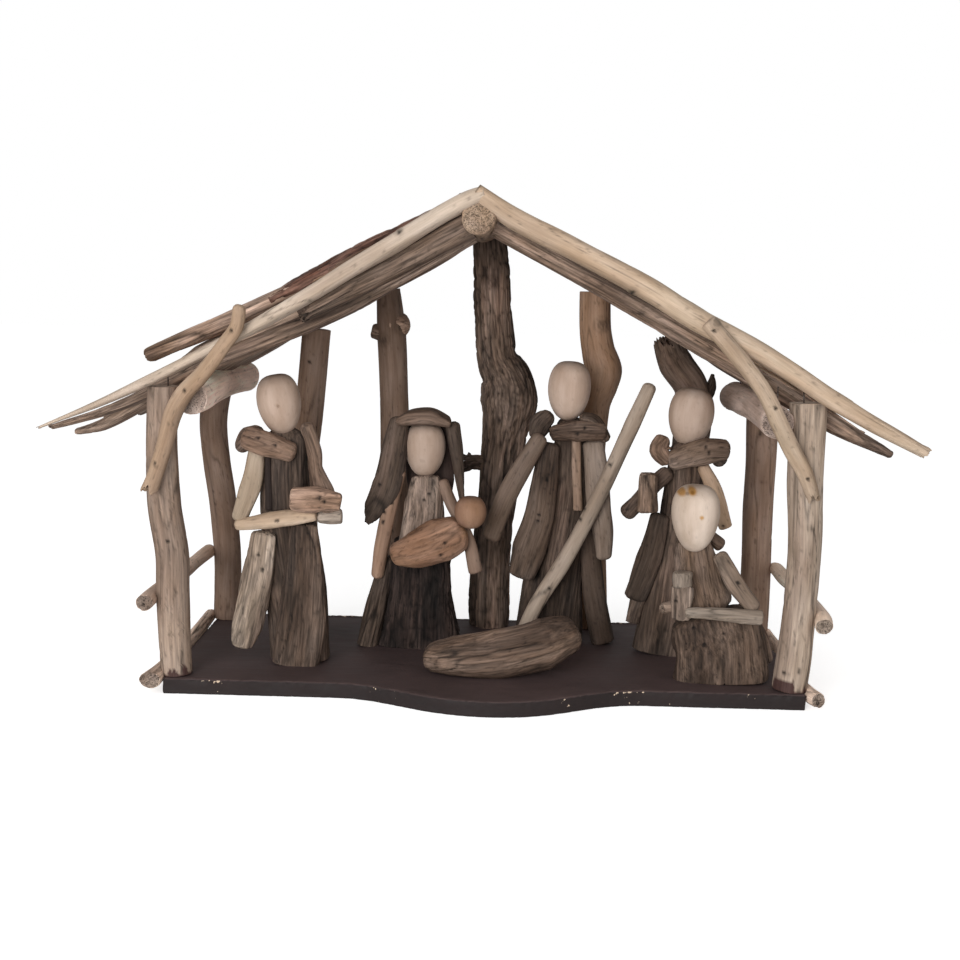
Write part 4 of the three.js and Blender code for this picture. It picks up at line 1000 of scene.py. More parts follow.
@dataclass
class CornerPosts(Joinery):
    """The four corner posts of the stable."""

    PREFIX: ClassVar[str] = "post_"
    front_left: Carving = Carving(SAND_WOOD, (
        Limb(path=((-174.4, -69, 0), (-175.6, -69, 22.9), (-176.2, -69, 49), (-176.2, -69, 68.7),
            (-180.4, -69, 99.7), (-181.7, -69, 127.5), (-180.8, -69, 163.5)),
            across=(9.4, 9.4, 9.4, 9.4, 9.3, 8.7, 8.7), gnarl=0.02, seed=3, tone=DUST, ends=(End.SAWN, End.SAWN),
            nails=((-176.6, 77.7),), shade=0.9, dip=5.0),
    ))
    front_right: Carving = Carving(SAND_WOOD, (
        Limb(path=((172.5, -69, 0), (174.6, -69, 24.3), (177.1, -69, 77.8), (175.6, -69, 121.6),
            (174.8, -69, 162.2)), across=(9.9, 9.9, 9.4, 9.8, 10.3), gnarl=0.02, seed=6, tone=PUTTY,
            ends=(End.SAWN, End.SAWN), nails=((167.6, 11), (175.4, 13.3)), dip=5.5),
    ))
    # The rear posts' shade factors above 1 are partly painted light, lifting wood that lies in the roof's shade.
    rear_left: Carving = Carving(UMBER_WOOD, (
        Limb(path=((-173.4, 69, 0), (-172.6, 69, 38.8), (-173.2, 69, 53.3), (-175.9, 69, 79.1), (-179.7, 69, 105),
            (-182, 69, 132.4), (-177, 69, 161.5)), across=(8.9, 9.1, 9.2, 9.1, 9.1, 9, 9.2), gnarl=0.02, seed=8,
            tone=UMBER, skin=SMOOTH_SKIN, ends=(End.SAWN, End.SAWN), shade=1.35),
    ))
    rear_right: Carving = Carving(UMBER_WOOD, (
        Limb(path=((174.5, 69, 0), (174.7, 69, 33.9), (174.6, 69, 77.1), (174.9, 69, 120.3), (174, 69, 154.2)),
            across=(9.7, 9.7, 10, 10.2, 10.3), gnarl=0.02, seed=5, tone=UMBER, skin=SMOOTH_SKIN,
            ends=(End.SAWN, End.SAWN), shade=1.9),
    ))


@dataclass
class BackPosts(Joinery):
    """The five posts of the open back wall, the rough middle one the thickest."""

    PREFIX: ClassVar[str] = "post_back_"
    # Shade factors above 1 on these posts are partly painted light, lifting wood that lies in the roof's shade.
    far_left: Carving = Carving(UMBER_WOOD, (
        Limb(path=((-123.4, 69, 0), (-123, 69, 71.1), (-122, 69, 115.3), (-119.8, 69, 134.5), (-114.4, 69, 192.2)),
            across=(10, 10, 9.8, 9.5, 9.4), gnarl=0.02, seed=2, tone=UMBER, skin=SMOOTH_SKIN,
            ends=(End.SAWN, End.SAWN), nails=((-118, 171.1),), shade=1.65),
    ))
    left: Carving = Carving(UMBER_WOOD, (
        Limb(path=((-61.5, 69, 0), (-63.1, 69, 129.2), (-64, 69, 153.2), (-66.5, 69, 192.6), (-68.6, 69, 218.9)),
            across=(9.7, 9.4, 9.4, 9.7, 8), gnarl=0.03, seed=4, tone=UMBER, skin=SMOOTH_SKIN,
            ends=(End.SAWN, End.SAWN), knots=((-70.7, 186.2, 3.6), (-58.7, 194.7, 4.2)), shade=1.15),
        Limb(path=((-66, 69, 190), (-79, 68, 192)), across=(7.2, 4.6), seed=1, tone=UMBER,
            ends=(End.SAWN, End.BLUNT), shade=1.3),
        Limb(path=((-66, 69, 195), (-54, 68, 196)), across=(9.4, 6.4), seed=1, tone=UMBER,
            ends=(End.SAWN, End.WORN), shade=2.4),
    ))
    middle: Carving = Carving(CHARRED_WOOD, (
        Limb(path=((1.4, 69, 0), (1.3, 69, 40.2), (4.3, 69, 83), (8, 69, 125.8), (10.3, 69, 148.4),
            (8.4, 69, 163.5), (3, 69, 176), (-0.2, 69, 201.2), (-2.1, 69, 231.4), (-4, 69, 251.5)),
            across=(13.9, 13.9, 12.9, 14.6, 18.4, 16.2, 12.9, 12, 12, 11), gnarl=0.035, seed=6, tone=PEAT,
            skin=ROUGH_SKIN, ends=(End.SAWN, End.SAWN), knots=((-1.2, 223.7, 4), (17.5, 156.6, 6)), shade=1.65),
        Limb(path=((2, 69, 103), (-8, 67, 108), (-21, 65, 107)), across=(6, 5, 8), deep=(6, 5, 6), facing=UPWARD,
            seed=1, tone=PEAT, skin=ROUGH_SKIN, ends=(End.SAWN, End.TORN), shade=2.4),
    ))
    right: Carving = Carving(RUSSET_WOOD, (
        Limb(path=((68.4, 69, 0), (68.4, 69, 22), (65.2, 69, 118.8), (66.3, 69, 147.4), (69.6, 69, 160.6),
            (70.8, 69, 169.4), (67.4, 69, 182.6), (65.2, 69, 195.8), (64.2, 69, 220)),
            across=(9.7, 9.7, 9.1, 10, 11.6, 12.6, 10.6, 10, 9.7), gnarl=0.02, seed=8, tone=RUSSET,
            skin=SMOOTH_SKIN, ends=(End.SAWN, End.SAWN), knots=((68.7, 198.6, 4.5),), shade=1.35),
    ))
    far_right: Carving = Carving(CHARRED_WOOD, (
        Limb(path=((132.7, 69, 0), (132.7, 69, 23.1), (129, 69, 115.7), (130, 69, 140.8), (127.6, 69, 160.1),
            (116.6, 69, 175.5), (109.6, 69, 192.9)), across=(11.6, 11.6, 12.3, 12.9, 11.2, 11.8, 9.2), gnarl=0.03,
            seed=10, tone=PEAT, ends=(End.SAWN, End.TORN), shade=1.15),
        Limb(path=((134, 69, 150), (140.4, 69, 160), (141.8, 69, 168.5)), across=(6, 3.8, 1.4), seed=1, tone=PEAT,
            ends=(End.SAWN, End.TORN), shade=0.5),
    ))


@dataclass
class Braces(Joinery):
    """The two bent sticks nailed across the front corners."""

    PREFIX: ClassVar[str] = "brace_"
    left: Carving = Carving(SAND_WOOD, (
        Limb(path=((-133.7, -91, 209.5), (-135.2, -91, 197.5), (-142.1, -91, 187.5), (-154.6, -90, 171.2),
            (-165.2, -86.8, 159.9), (-171.3, -85.8, 148.9), (-176.6, -82.8, 132), (-182, -82.8, 115.4),
            (-186.4, -82.2, 104.5)), across=(3.8, 4.1, 4.2, 4.4, 4.9, 4.9, 4.9, 4.5, 4.9), deep=(4.6,), seed=12,
            tone=HONEY, skin=SMOOTH_SKIN, ends=(End.WORN, End.TORN),
            nails=((-137.6, 195.2), (-163.8, 162.4), (-181.2, 121.8)), shade=0.9),
    ))
    right: Carving = Carving(SAND_WOOD, (
        Limb(path=((115.2, -91, 205.8), (126.7, -91, 193.3), (142, -91, 175), (149.4, -90, 164.6),
            (156.7, -86.8, 151), (164.5, -83.2, 137.2), (172.8, -82.8, 123.7), (178.6, -81.8, 108.5)),
            across=(5, 5, 4.7, 4.6, 4.7, 4.6, 4.3, 3.6), deep=(4.6,), seed=14, tone=STRAW, skin=SMOOTH_SKIN,
            ends=(End.BLUNT, End.TORN), nails=((118.2, 200.6), (152.8, 160.4), (173.2, 122)),
            knots=((119.5, 205, 3.2),), shade=0.8),
    ))


@dataclass
class SideRails(Joinery):
    """The rails and kerbs that tie the side posts."""

    rail_left: Carving = Carving(GREY_WOOD, (
        Limb(path=((-188.4, -84, 43.8), (-189.2, -69, 43.8), (-187.2, 0, 44), (-185, 73, 44.6)), across=(5,),
            deep=(4.6,), facing=UPWARD, gnarl=0.03, seed=15, tone=DUST, skin=SMOOTH_SKIN,
            ends=(End.POROUS, End.WORN), nails=((-188.9, 43),), shade=2.4),
    ))
    rail_right: Carving = Carving(GREY_WOOD, (
        Limb(path=((187, -84, 40), (189, -69, 41), (188.4, 0, 41.6), (187.8, 73, 42)), across=(5,), deep=(4.6,),
            facing=UPWARD, gnarl=0.03, seed=16, tone=PUTTY, skin=SMOOTH_SKIN, ends=(End.POROUS, End.WORN), shade=2.4),
    ))
    kerb_left: Carving = Carving(GREY_WOOD, (
        Limb(path=((-186, -84, 0), (-184.8, -69, 0), (-183.6, 0, 0), (-184.6, 73, 0.8)), across=(6.4, 5.4, 4, 4),
            deep=(4.6,), facing=UPWARD, gnarl=0.03, seed=17, tone=DUST, ends=(End.POROUS, End.WORN), shade=2.2),
    ))
    kerb_right: Carving = Carving(GREY_WOOD, (
        Limb(path=((186, -84, -2), (183.4, -69, -2.4), (183.6, 0, -3), (184.4, 73, -2.6)), across=(4,), deep=(4.6,),
            facing=UPWARD, gnarl=0.03, seed=18, tone=DUST, ends=(End.POROUS, End.WORN), nails=((185.7, -3.6),),
            shade=2.4),
    ))


@dataclass
class LeftKing(Joinery):
    """The standing king at the left, with the gift held out."""

    PREFIX: ClassVar[str] = "king_left_"
    head: Carving = Carving(CREAM_WOOD, (
        Pebble(centre=(-122, -32, 151.3), radius=14.3, height=17.8, lean=-0.16, seed=81, shade=0.9,
            stains=((-120.9, 151.4),)),
    ))
    robe: Carving = Carving(UMBER_WOOD, (
        Limb(path=((-119, -29, 138), (-118, -30, 86), (-112, -29, 42), (-109.5, -27, 0)),
            across=(11, 15.5, 18.4, 18), deep=(10, 11, 12, 13), power=2.6, seed=21, tone=PEAT, skin=OPEN_SKIN,
            ends=(End.WORN, End.SAWN), shade=1.05),
        Limb(path=((-105.2, -44.5, 84), (-105.2, -45.5, 62), (-106.3, -45.5, 32), (-110, -41.5, 0)),
            across=(7.4, 11, 14.2, 13), deep=(4.5, 5, 5.5, 7), power=3.6, seed=22, tone=UMBER, skin=OPEN_SKIN,
            ends=(End.BLUNT, End.SAWN), shade=0.65),
        Limb(path=((-129.5, -42, 79), (-132.8, -43, 51), (-139.2, -43, 22), (-142.6, -42, 8.6)),
            across=(7.4, 9, 9.2, 6), deep=(4, 4.4, 4.4, 3.6), power=3, seed=23, tone=PUTTY, skin=OPEN_SKIN,
            nails=((-131.9, 65.1), (-129.5, 56.4)), shade=0.85),
        # A near-black strip: painted shadow in the gap between the arm and the robe.
        Limb(path=((-127.6, -38.6, 122), (-126.4, -39.6, 90)), across=(2, 2.3), deep=(1.8,), seed=91, tone=CHAR,
            skin=SMOOTH_SKIN, shade=0.45),
    ))
    collar: Carving = Carving(GREY_WOOD, (
        Limb(path=((-142, -41, 133.5), (-127.5, -43, 129.5), (-111, -41, 123.5)), across=(6, 7.4, 5.6),
            deep=(4.6, 6, 4.6), power=2.6, seed=24, tone=TAN, nails=((-131.7, 133.2), (-121.9, 129.4)), shade=0.85),
        Limb(path=((-130.5, -31, 134), (-139.4, -31, 131), (-146.8, -31, 124)), across=(7, 7.5, 3), deep=(9, 8, 5),
            power=2.4, seed=25, skin=OPEN_SKIN, shade=1.25),
    ))
    arm: Carving = Carving(BLEACHED_WOOD, (
        Limb(path=((-133.6, -38, 127), (-137.4, -42, 102), (-143.4, -46, 84)), across=(4.8, 6.2, 4.8), deep=(4,),
            power=2.6, seed=26, tone=STRAW, skin=SMOOTH_SKIN, shade=0.65),
        Limb(path=((-145.5, -47, 82.5), (-124, -49.5, 86), (-112, -50.5, 88), (-97.5, -52, 89.3)),
            across=(3.2, 5.2, 4.8, 2.2), deep=(3.2, 4.2, 4, 2.4), seed=27, tone=STRAW, skin=SMOOTH_SKIN,
            ends=(End.WORN, End.BLUNT), nails=((-119.7, 86.6),), shade=0.9),
    ))
    gift_arm: Carving = Carving(GREY_WOOD, (
        Limb(path=((-107, -30, 141), (-101.5, -31, 124), (-100, -34, 115), (-95, -41, 103), (-88, -49, 91)),
            across=(4.6, 4.8, 3.8, 5.6, 5.4), deep=(5, 5, 4, 5, 5), seed=28, shade=1.5),
        Limb(path=((-98.5, -47, 88.7), (-90, -47, 88.7), (-83, -47, 89)), across=(4.2, 4.6, 4.4), deep=(4.4,),
            seed=30, tone=PUTTY, ends=(End.WORN, End.BLUNT), shade=0.85),
    ))
    gift: Carving = Carving(BISCUIT_WOOD, (
        Limb(path=((-112.5, -51.5, 98.8), (-98, -52.5, 99.2), (-83, -51.5, 97.8)), across=(6.2, 7.4, 5),
            deep=(5, 6, 5), power=3.4, seed=29, tone=TAN, skin=OPEN_SKIN, ends=(End.BLUNT, End.BLUNT),
            nails=((-95.2, 101), (-92.3, 98.8)), shade=0.9),
    ))


@dataclass
class Mother(Joinery):
    """The mother with a long veil."""

    PREFIX: ClassVar[str] = "mother_"
    head: Carving = Carving(CREAM_WOOD, (
        Pebble(centre=(-39, 0, 123.4), radius=13.6, height=16.5, taper=0.1, seed=82, shade=0.8),
    ))
    veil: Carving = Carving(UMBER_WOOD, (
        Limb(path=((-55.5, -3, 140.4), (-47, -5, 143), (-36, -5, 143.8), (-23.4, -3, 139.8)),
            across=(3, 4.8, 5, 2.8), deep=(8, 11, 11, 8), power=3.2, seed=31, tone=UMBER, shade=0.95),
        Limb(path=((-54, -3, 143), (-57.5, -6.5, 122), (-61.6, -8.5, 102), (-68, -7.5, 88), (-73.6, -6, 77.5)),
            across=(5, 8, 9, 7.4, 2.2), deep=(4, 4, 3.6, 3.2, 2), power=2.6, seed=32, tone=PEAT,
            ends=(End.WORN, End.TORN), nails=((-65.2, 102.7),), shade=0.7),
        Limb(path=((-22.8, -2, 141), (-20.4, -3, 126), (-18, -3, 108), (-15.6, -2, 90)),
            across=(4.6, 4.4, 3.2, 1.6), deep=(4.5, 4.5, 3.5, 2), power=2.6, seed=33, tone=PEAT, shade=0.7),
        # The back plate behind the head: its near-black colour is painted shade lying behind the head.
        Limb(path=((-38, 9.5, 140), (-37.4, 9.5, 122), (-36.8, 9.5, 104), (-36.8, 4, 91)),
            across=(13, 14, 15.4, 13), deep=(3.6,), power=2.4, seed=40, tone=CHAR, skin=SMOOTH_SKIN),
    ))
    bodice: Carving = Carving(GREY_WOOD, (
        Limb(path=((-38.4, -1, 108), (-38.5, -3, 91), (-40, -4, 76), (-42, -3, 65)), across=(8.6, 11.5, 13, 12.5),
            deep=(6.5, 7.5, 8, 8), power=2.6, seed=34, tone=DUST, skin=OPEN_SKIN, ends=(End.BLUNT, End.SAWN),
            nails=((-35.8, 97.5), (-38.7, 94)), shade=0.95),
    ))
    skirt: Carving = Carving(CHARRED_WOOD, (
        Limb(path=((-41.5, 6, 69), (-41, 9, 47), (-42, 11, 26), (-42.5, 12, 0)), across=(16.6, 19.2, 22.8, 26),
            deep=(10, 12, 13.5, 14.5), power=2.6, seed=35, tone=CHAR, skin=ROUGH_SKIN, ends=(End.BLUNT, End.SAWN),
            shade=0.75),
        Limb(path=((-61, 6, 57), (-68, 6, 26), (-73.4, 7, 0)), across=(5.2, 6.4, 6.8), deep=(5, 6, 7), power=2.6,
            seed=36, tone=PEAT, skin=OPEN_SKIN, ends=(End.WORN, End.SAWN), shade=0.95),
    ))
    arm: Carving = Carving(BISCUIT_WOOD, (
        Limb(path=((-53.5, -6, 112), (-60.5, -6.5, 84), (-64.5, -4.5, 62), (-67.4, -1.5, 43.5)),
            across=(4, 4.6, 4.6, 4.2), deep=(4.2,), seed=37, tone=TAN, skin=SMOOTH_SKIN,
            nails=((-57.8, 91.8), (-62.6, 86.1), (-63.1, 80)), shade=0.95),
    ))
    near_arm: Carving = Carving(BISCUIT_WOOD, (
        Limb(path=((-28.5, -3, 106), (-22, -7, 91), (-13.5, -13, 76), (-10.2, -15, 68), (-6.2, -16, 51.5)),
            across=(3.8, 4, 3.8, 4, 4.3), deep=(4, 4, 3.8, 4, 4), seed=38, tone=TAN, skin=SMOOTH_SKIN,
            ends=(End.WORN, End.BLUNT), shade=0.5),
    ))


@dataclass
class StaffBearer(Joinery):
    """The tall figure in a cape that holds the staff."""

    PREFIX: ClassVar[str] = "shepherd_"
    head: Carving = Carving(CREAM_WOOD, (
        Pebble(centre=(47.5, 22, 159), radius=14.7, height=18.3, taper=0.1, lean=0.05, seed=83, shade=0.95),
    ))
    robe: Carving = Carving(CHARRED_WOOD, (
        Limb(path=((49.5, 25, 143), (48, 27, 92), (42, 28, 46), (38, 28, 0)), across=(9, 14, 17.5, 21),
            deep=(9, 10.5, 12, 12.5), power=2.6, seed=41, tone=PEAT, skin=OPEN_SKIN, ends=(End.WORN, End.SAWN),
            shade=0.75),
        Limb(path=((60, 23, 80), (66.3, 25, 36), (73.4, 25, 0)), across=(6, 7, 7.8), deep=(6, 7, 7), power=2.6,
            seed=42, tone=PEAT, skin=SMOOTH_SKIN, ends=(End.WORN, End.BLUNT), shade=0.7),
        Limb(path=((52.4, 15.4, 131), (53.2, 15.6, 110), (54.4, 15.8, 86)), across=(2.8, 3.1, 3), deep=(2.2,),
            power=2.6, seed=92, skin=SMOOTH_SKIN, ends=(End.SAWN, End.SAWN)),
    ))
    collar: Carving = Carving(UMBER_WOOD, (
        Limb(path=((35.5, 12, 133.6), (53, 11, 135.6), (71, 13, 135)), across=(4.6, 6.6, 5.4), deep=(4, 5, 4),
            power=2.6, seed=43, tone=UMBER, skin=OPEN_SKIN, nails=((57.1, 137.8), (52.4, 134.1)), shade=1.05),
        Limb(path=((54, 15, 143.5), (62, 15, 141.5), (71.5, 15, 129)), across=(3.4, 5, 3.2), deep=(5, 6, 4),
            seed=44, tone=UMBER, skin=OPEN_SKIN, shade=0.5),
        Limb(path=((37, 14, 146), (30.5, 13, 139), (27.5, 13, 129.5)), across=(4, 7.4, 4.4), deep=(4, 5, 4),
            power=2.6, seed=45, tone=PEAT, skin=OPEN_SKIN, shade=0.85),
    ))
    left_panel: Carving = Carving(UMBER_WOOD, (
        Limb(path=((36.5, 14, 128), (33.8, 13, 103), (31, 13, 81), (25.4, 13, 62), (20, 13, 43)),
            across=(6, 8.4, 10, 10.5, 7.5), deep=(4, 4.6, 4.6, 4.6, 4), power=3, seed=46, tone=UMBER,
            nails=((35, 105.3), (30.7, 83.7), (30.2, 79.9)), shade=0.55),
    ))
    right_panel: Carving = Carving(GREY_WOOD, (
        Limb(path=((62.5, 16, 130), (65, 15, 111), (67.5, 15, 91), (70.5, 14, 73), (71.5, 14, 55.5)),
            across=(6.8, 7.6, 7.4, 6.4, 4.6), deep=(4, 5, 5, 5, 4), power=2.8, seed=47, tone=DUST, skin=SMOOTH_SKIN,
            shade=0.6),
    ))
    arm: Carving = Carving(GREY_WOOD, (
        Limb(path=((31.5, 8.5, 133), (18.6, 6, 111), (9.7, 4, 92.5), (0.5, 3, 68)), across=(5, 6, 6.6, 6.4),
            deep=(4.6,), power=2.6, seed=48, skin=SMOOTH_SKIN, shade=0.55),
    ))


@dataclass
class RearKing(Joinery):
    """The king behind at the right."""

    PREFIX: ClassVar[str] = "king_rear_"
    head: Carving = Carving(CREAM_WOOD, (
        Pebble(centre=(120.6, 6, 146), radius=15.1, height=17.9, taper=0.1, lean=0.1, seed=84, shade=0.9),
    ))
    robe: Carving = Carving(CHARRED_WOOD, (
        Limb(path=((119, 6, 132.5), (118, 8, 86), (114, 8, 46), (108, 8, 0)), across=(9.5, 13, 17, 18),
            deep=(9, 10.5, 11, 11.5), power=2.6, seed=51, tone=PEAT, skin=OPEN_SKIN, ends=(End.WORN, End.SAWN),
            shade=0.85),
        Limb(path=((104, -1, 88), (98, -1.5, 60), (89.5, 0, 34)), across=(6, 8, 6.6), deep=(3.6, 4.4, 4), power=2.8,
            seed=52, tone=PEAT, shade=0.65),
        Limb(path=((94, 4, 38), (89.8, 4, 19)), across=(5.6, 4.8), deep=(4,), seed=50, tone=PEAT, skin=OPEN_SKIN,
            ends=(End.WORN, End.SAWN), shade=1.3),
    ))
    collar: Carving = Carving(GREY_WOOD, (
        Limb(path=((106.5, -4, 119.5), (127, -6, 126.4), (143.5, -4.5, 127.5)), across=(6, 8, 6.4),
            deep=(4.4, 5.4, 4.4), power=2.4, seed=53, nails=((128.1, 129.8), (130, 126.4)), shade=0.85),
        Limb(path=((105, -1, 135), (101.5, -2.5, 127), (108, -4, 118.5)), across=(4, 6.8, 4), deep=(3.6, 4.6, 3.6),
            seed=54, tone=TAN, skin=OPEN_SKIN, shade=0.95),
        Limb(path=((134, -1, 124), (141, -1, 118.5)), across=(5, 4.4), deep=(4,), seed=58, tone=PEAT, shade=0.5),
    ))
    arm: Carving = Carving(BLEACHED_WOOD, (
        Limb(path=((127.5, -1, 119), (134.4, -1, 105.5), (143.8, -2, 79.8)), across=(4, 4.9, 4.2), deep=(4,),
            seed=55, tone=HONEY, skin=SMOOTH_SKIN, ends=(End.WORN, End.BLUNT), nails=((141.1, 81.7),), shade=1.25),
    ))
    gift_arm: Carving = Carving(UMBER_WOOD, (
        Limb(path=((108.4, -1.5, 114.4), (94.6, -6, 101.6), (80.8, -11, 87.4)), across=(4.6, 5, 5.6),
            deep=(4.6, 5, 5), seed=56, tone=PEAT, shade=0.6),
        Limb(path=((94.6, -13, 114), (94.3, -13, 90)), across=(5.6, 6.2), deep=(4.4, 4.8), power=3.4, seed=57,
            skin=OPEN_SKIN, ends=(End.BLUNT, End.BLUNT), shade=0.8),
    ))


@dataclass
class KneelingKing(Joinery):
    """The king that kneels at the right."""

    PREFIX: ClassVar[str] = "king_kneeling_"
    head: Carving = Carving(CREAM_WOOD, (
        Pebble(centre=(117.4, -58, 94.6), radius=16.1, height=19.2, taper=0.16, tone=CHALK, seed=85,
            resin=((108.2, 110.4, 2.3), (113.8, 111.1, 2.2), (103.8, 109.2, 1.6), (119.1, 97, 1.1)),
            stains=((111.2, 109.7), (113.9, 110.5))),
    ))
    robe: Carving = Carving(UMBER_WOOD, (
        Limb(path=((117, -50, 84), (121, -50, 62), (127, -50, 38)), across=(9, 13.5, 18), deep=(7, 8.5, 9),
            power=2.6, seed=61, skin=OPEN_SKIN, shade=0.6),
        Limb(path=((131, -50, 40), (135, -50, 21), (136, -50, 0)), across=(23, 27.5, 26.5), deep=(13, 15, 15.5),
            power=2.8, seed=62, tone=UMBER, skin=OPEN_SKIN, ends=(End.BLUNT, End.SAWN),
            nails=((135.3, 29.8), (118.6, 32.3), (124.3, 23.1)), shade=0.65),
        Limb(path=((110, -53, 43), (100.5, -57, 42)), across=(3.6, 3), seed=63, tone=DUST,
            ends=(End.WORN, End.POROUS), shade=1.3),
        Limb(path=((125, -45, 84), (135.6, -45, 76)), across=(4.6, 4), seed=68, tone=UMBER, shade=1.3),
        Limb(path=((151, -44, 37), (159.5, -44, 24), (164, -44, 8)), across=(4, 4.4, 4), deep=(5,), seed=69,
            tone=PEAT, skin=OPEN_SKIN, shade=2.1),
    ))
    arm: Carving = Carving(BLEACHED_WOOD, (
        Limb(path=((131, -57, 75), (141, -59, 58), (153, -62, 43)), across=(4.4, 5.2, 4.6), deep=(3.6, 4, 4),
            power=2.6, seed=64, tone=DUST, nails=((142.1, 59),), shade=0.6),
        Limb(path=((156.5, -66, 40), (137, -67.5, 41.6), (112, -68, 42.3)), across=(4.2, 4.3, 3),
            deep=(3.6, 3.8, 3), seed=65, tone=PUTTY, ends=(End.BLUNT, End.WORN), shade=0.55),
    ))
    gift: Carving = Carving(GREY_WOOD, (
        Limb(path=((111.2, -62.5, 37), (111, -62.5, 57)), across=(6.2, 6.3), deep=(5,), seed=66, tone=DUST,
            skin=OPEN_SKIN, ends=(End.BLUNT, End.BLUNT), nails=((107.3, 48.6),), shade=0.8),
        Limb(path=((110.8, -62.5, 55.5), (110.6, -62.5, 65)), across=(5.4, 6.3), deep=(5,), seed=67, tone=PUTTY,
            ends=(End.SAWN, End.BLUNT), shade=0.6),
    ))


@dataclass
class LoosePieces(Joinery):
    """The crib, the baby and the staff."""

    crib: Carving = Carving(BISCUIT_WOOD, (
        Limb(path=((-35, -49, 8), (-18, -54, 10), (8, -55, 13), (34, -50, 18), (54.5, -44, 24)),
            across=(7, 11, 14.5, 15, 9), deep=(8, 12, 14, 13, 9), power=2.6, seed=71, tone=UMBER, skin=OPEN_SKIN),
    ))
    baby: Carving = Carving(BISCUIT_WOOD, (
        Limb(path=((-58, -18, 61.5), (-44, -19, 65), (-28, -20, 71.5), (-13.5, -20.5, 79.5)),
            across=(6, 11, 13.4, 10), deep=(5, 8, 9, 8), power=2.3, seed=39, tone=CINNAMON,
            nails=((-24.8, 71.5), (-27.1, 64.1)), shade=0.9),
        Pebble(centre=(-10.4, -23, 89.2), radius=9.8, height=9.8, taper=0.02, tone=CINNAMON, seed=86, shade=0.8),
    ))
    staff: Carving = Carving(BLEACHED_WOOD, (
        Limb(path=((96.2, 9, 165.5), (85.6, 8, 140), (69.6, 6.3, 103), (47.8, 4.4, 58.8), (31, 1, 30), (17, -2, 0)),
            across=(4.2, 5, 5, 5, 4.6, 4), seed=49, tone=PUTTY, skin=SMOOTH_SKIN, ends=(End.WORN, End.SAWN),
            nails=((72.6, 116.2), (57.8, 88.4), (55.5, 82.3), (37.8, 39.9)), shade=0.8),
    ))


@dataclass(frozen=True)
class BoardPaint:
    """Matt plum paint brushed over a fibre board, rubbed through in specks along its edges.

    Args:
        name: the start of the material's name, which ends in _brushed.
        body: the paint's colour.
        bare: the board's own colour under it.
        flanks: painted shade: how much darker the paint is made on the edges.
        face: painted light: how much lighter the paint is made on the top.
        roughness: how dull it is.
    """

    name: str = "painted_board"
    body: str = "3b2f2e"
    bare: str = "c9b39c"
    flanks: float = 0.42
    face: float = 1.55
    roughness: float = 0.7

    def material(self) -> bpy.types.Material:
        """Makes the paint.

        Returns:
            The material.
        """
        made = bpy.data.materials.new(self.name + "_brushed")
        made.use_nodes = True
        net = NodeNet(made)
        place = net.add("ShaderNodeTexCoord").outputs["Object"]
        brushed = net.add("ShaderNodeMapping")
        brushed.inputs["Scale"].default_value = (60, 420, 300)
        net.join(place, brushed.inputs["Vector"])
        strokes = net.noise(brushed.outputs[0], 1.0, 4.0)
        blotches = net.noise(place, 26.0, 3.0)
        dust = net.noise(place, 900.0, 2.0)
        brushed_in, blotched = net.span(strokes, 0.3, 0.7, 0.86, 1.14), net.span(blotches, 0.3, 0.7, 0.84, 1.16)
        factor = net.math("MULTIPLY", brushed_in, blotched)
        factor = net.math("MULTIPLY", factor, net.span(dust, 0.66, 0.74, 1.0, 1.35))
        height = net.add("ShaderNodeSeparateXYZ")
        net.join(place, height.inputs[0])
        # Painted light and shade: the paint is made lighter on the top and darker down the edges.
        top_light_edge_shade = net.span(height.outputs["Z"], (BOARD_TOP - 0.9) * MM, (BOARD_TOP - 0.2) * MM, self.flanks, self.face)
        factor = net.math("MULTIPLY", factor, top_light_edge_shade)
        base = net.add("ShaderNodeVectorMath", operation="SCALE")
        base.inputs[0].default_value = linear(self.body)
        net.join(factor, base.inputs["Scale"])
        wear = net.add("ShaderNodeAttribute", attribute_name="wear").outputs["Fac"]
        chips = net.math("ADD", net.noise(place, 340.0, 2.0), net.math("MULTIPLY", wear, 0.2))
        bare = net.math("MULTIPLY", net.span(chips, 0.79, 0.82, 0.0, 1.0), net.span(wear, 0.15, 0.3, 0.0, 1.0))
        mix = net.add("ShaderNodeMix", data_type="RGBA")
        net.join(bare, mix.inputs["Factor"])
        net.join(base.outputs[0], mix.inputs["A"])
        mix.inputs["B"].default_value = (*linear(self.bare), 1)
        net.join(mix.outputs["Result"], net.shader.inputs["Base Color"])
        dull = net.span(strokes, 0.3, 0.7, self.roughness - 0.08, self.roughness + 0.1)
        net.join(dull, net.shader.inputs["Roughness"])
        net.shader.inputs["Specular IOR Level"].default_value = 0.3
        bump = net.add("ShaderNodeBump")
        bump.inputs["Strength"].default_value = 0.5
        bump.inputs["Distance"].default_value = 0.2 * MM
        net.join(net.math("ADD", strokes, net.math("MULTIPLY", dust, 0.6)), bump.inputs["Height"])
        net.join(bump.outputs["Normal"], net.shader.inputs["Normal"])
        return made


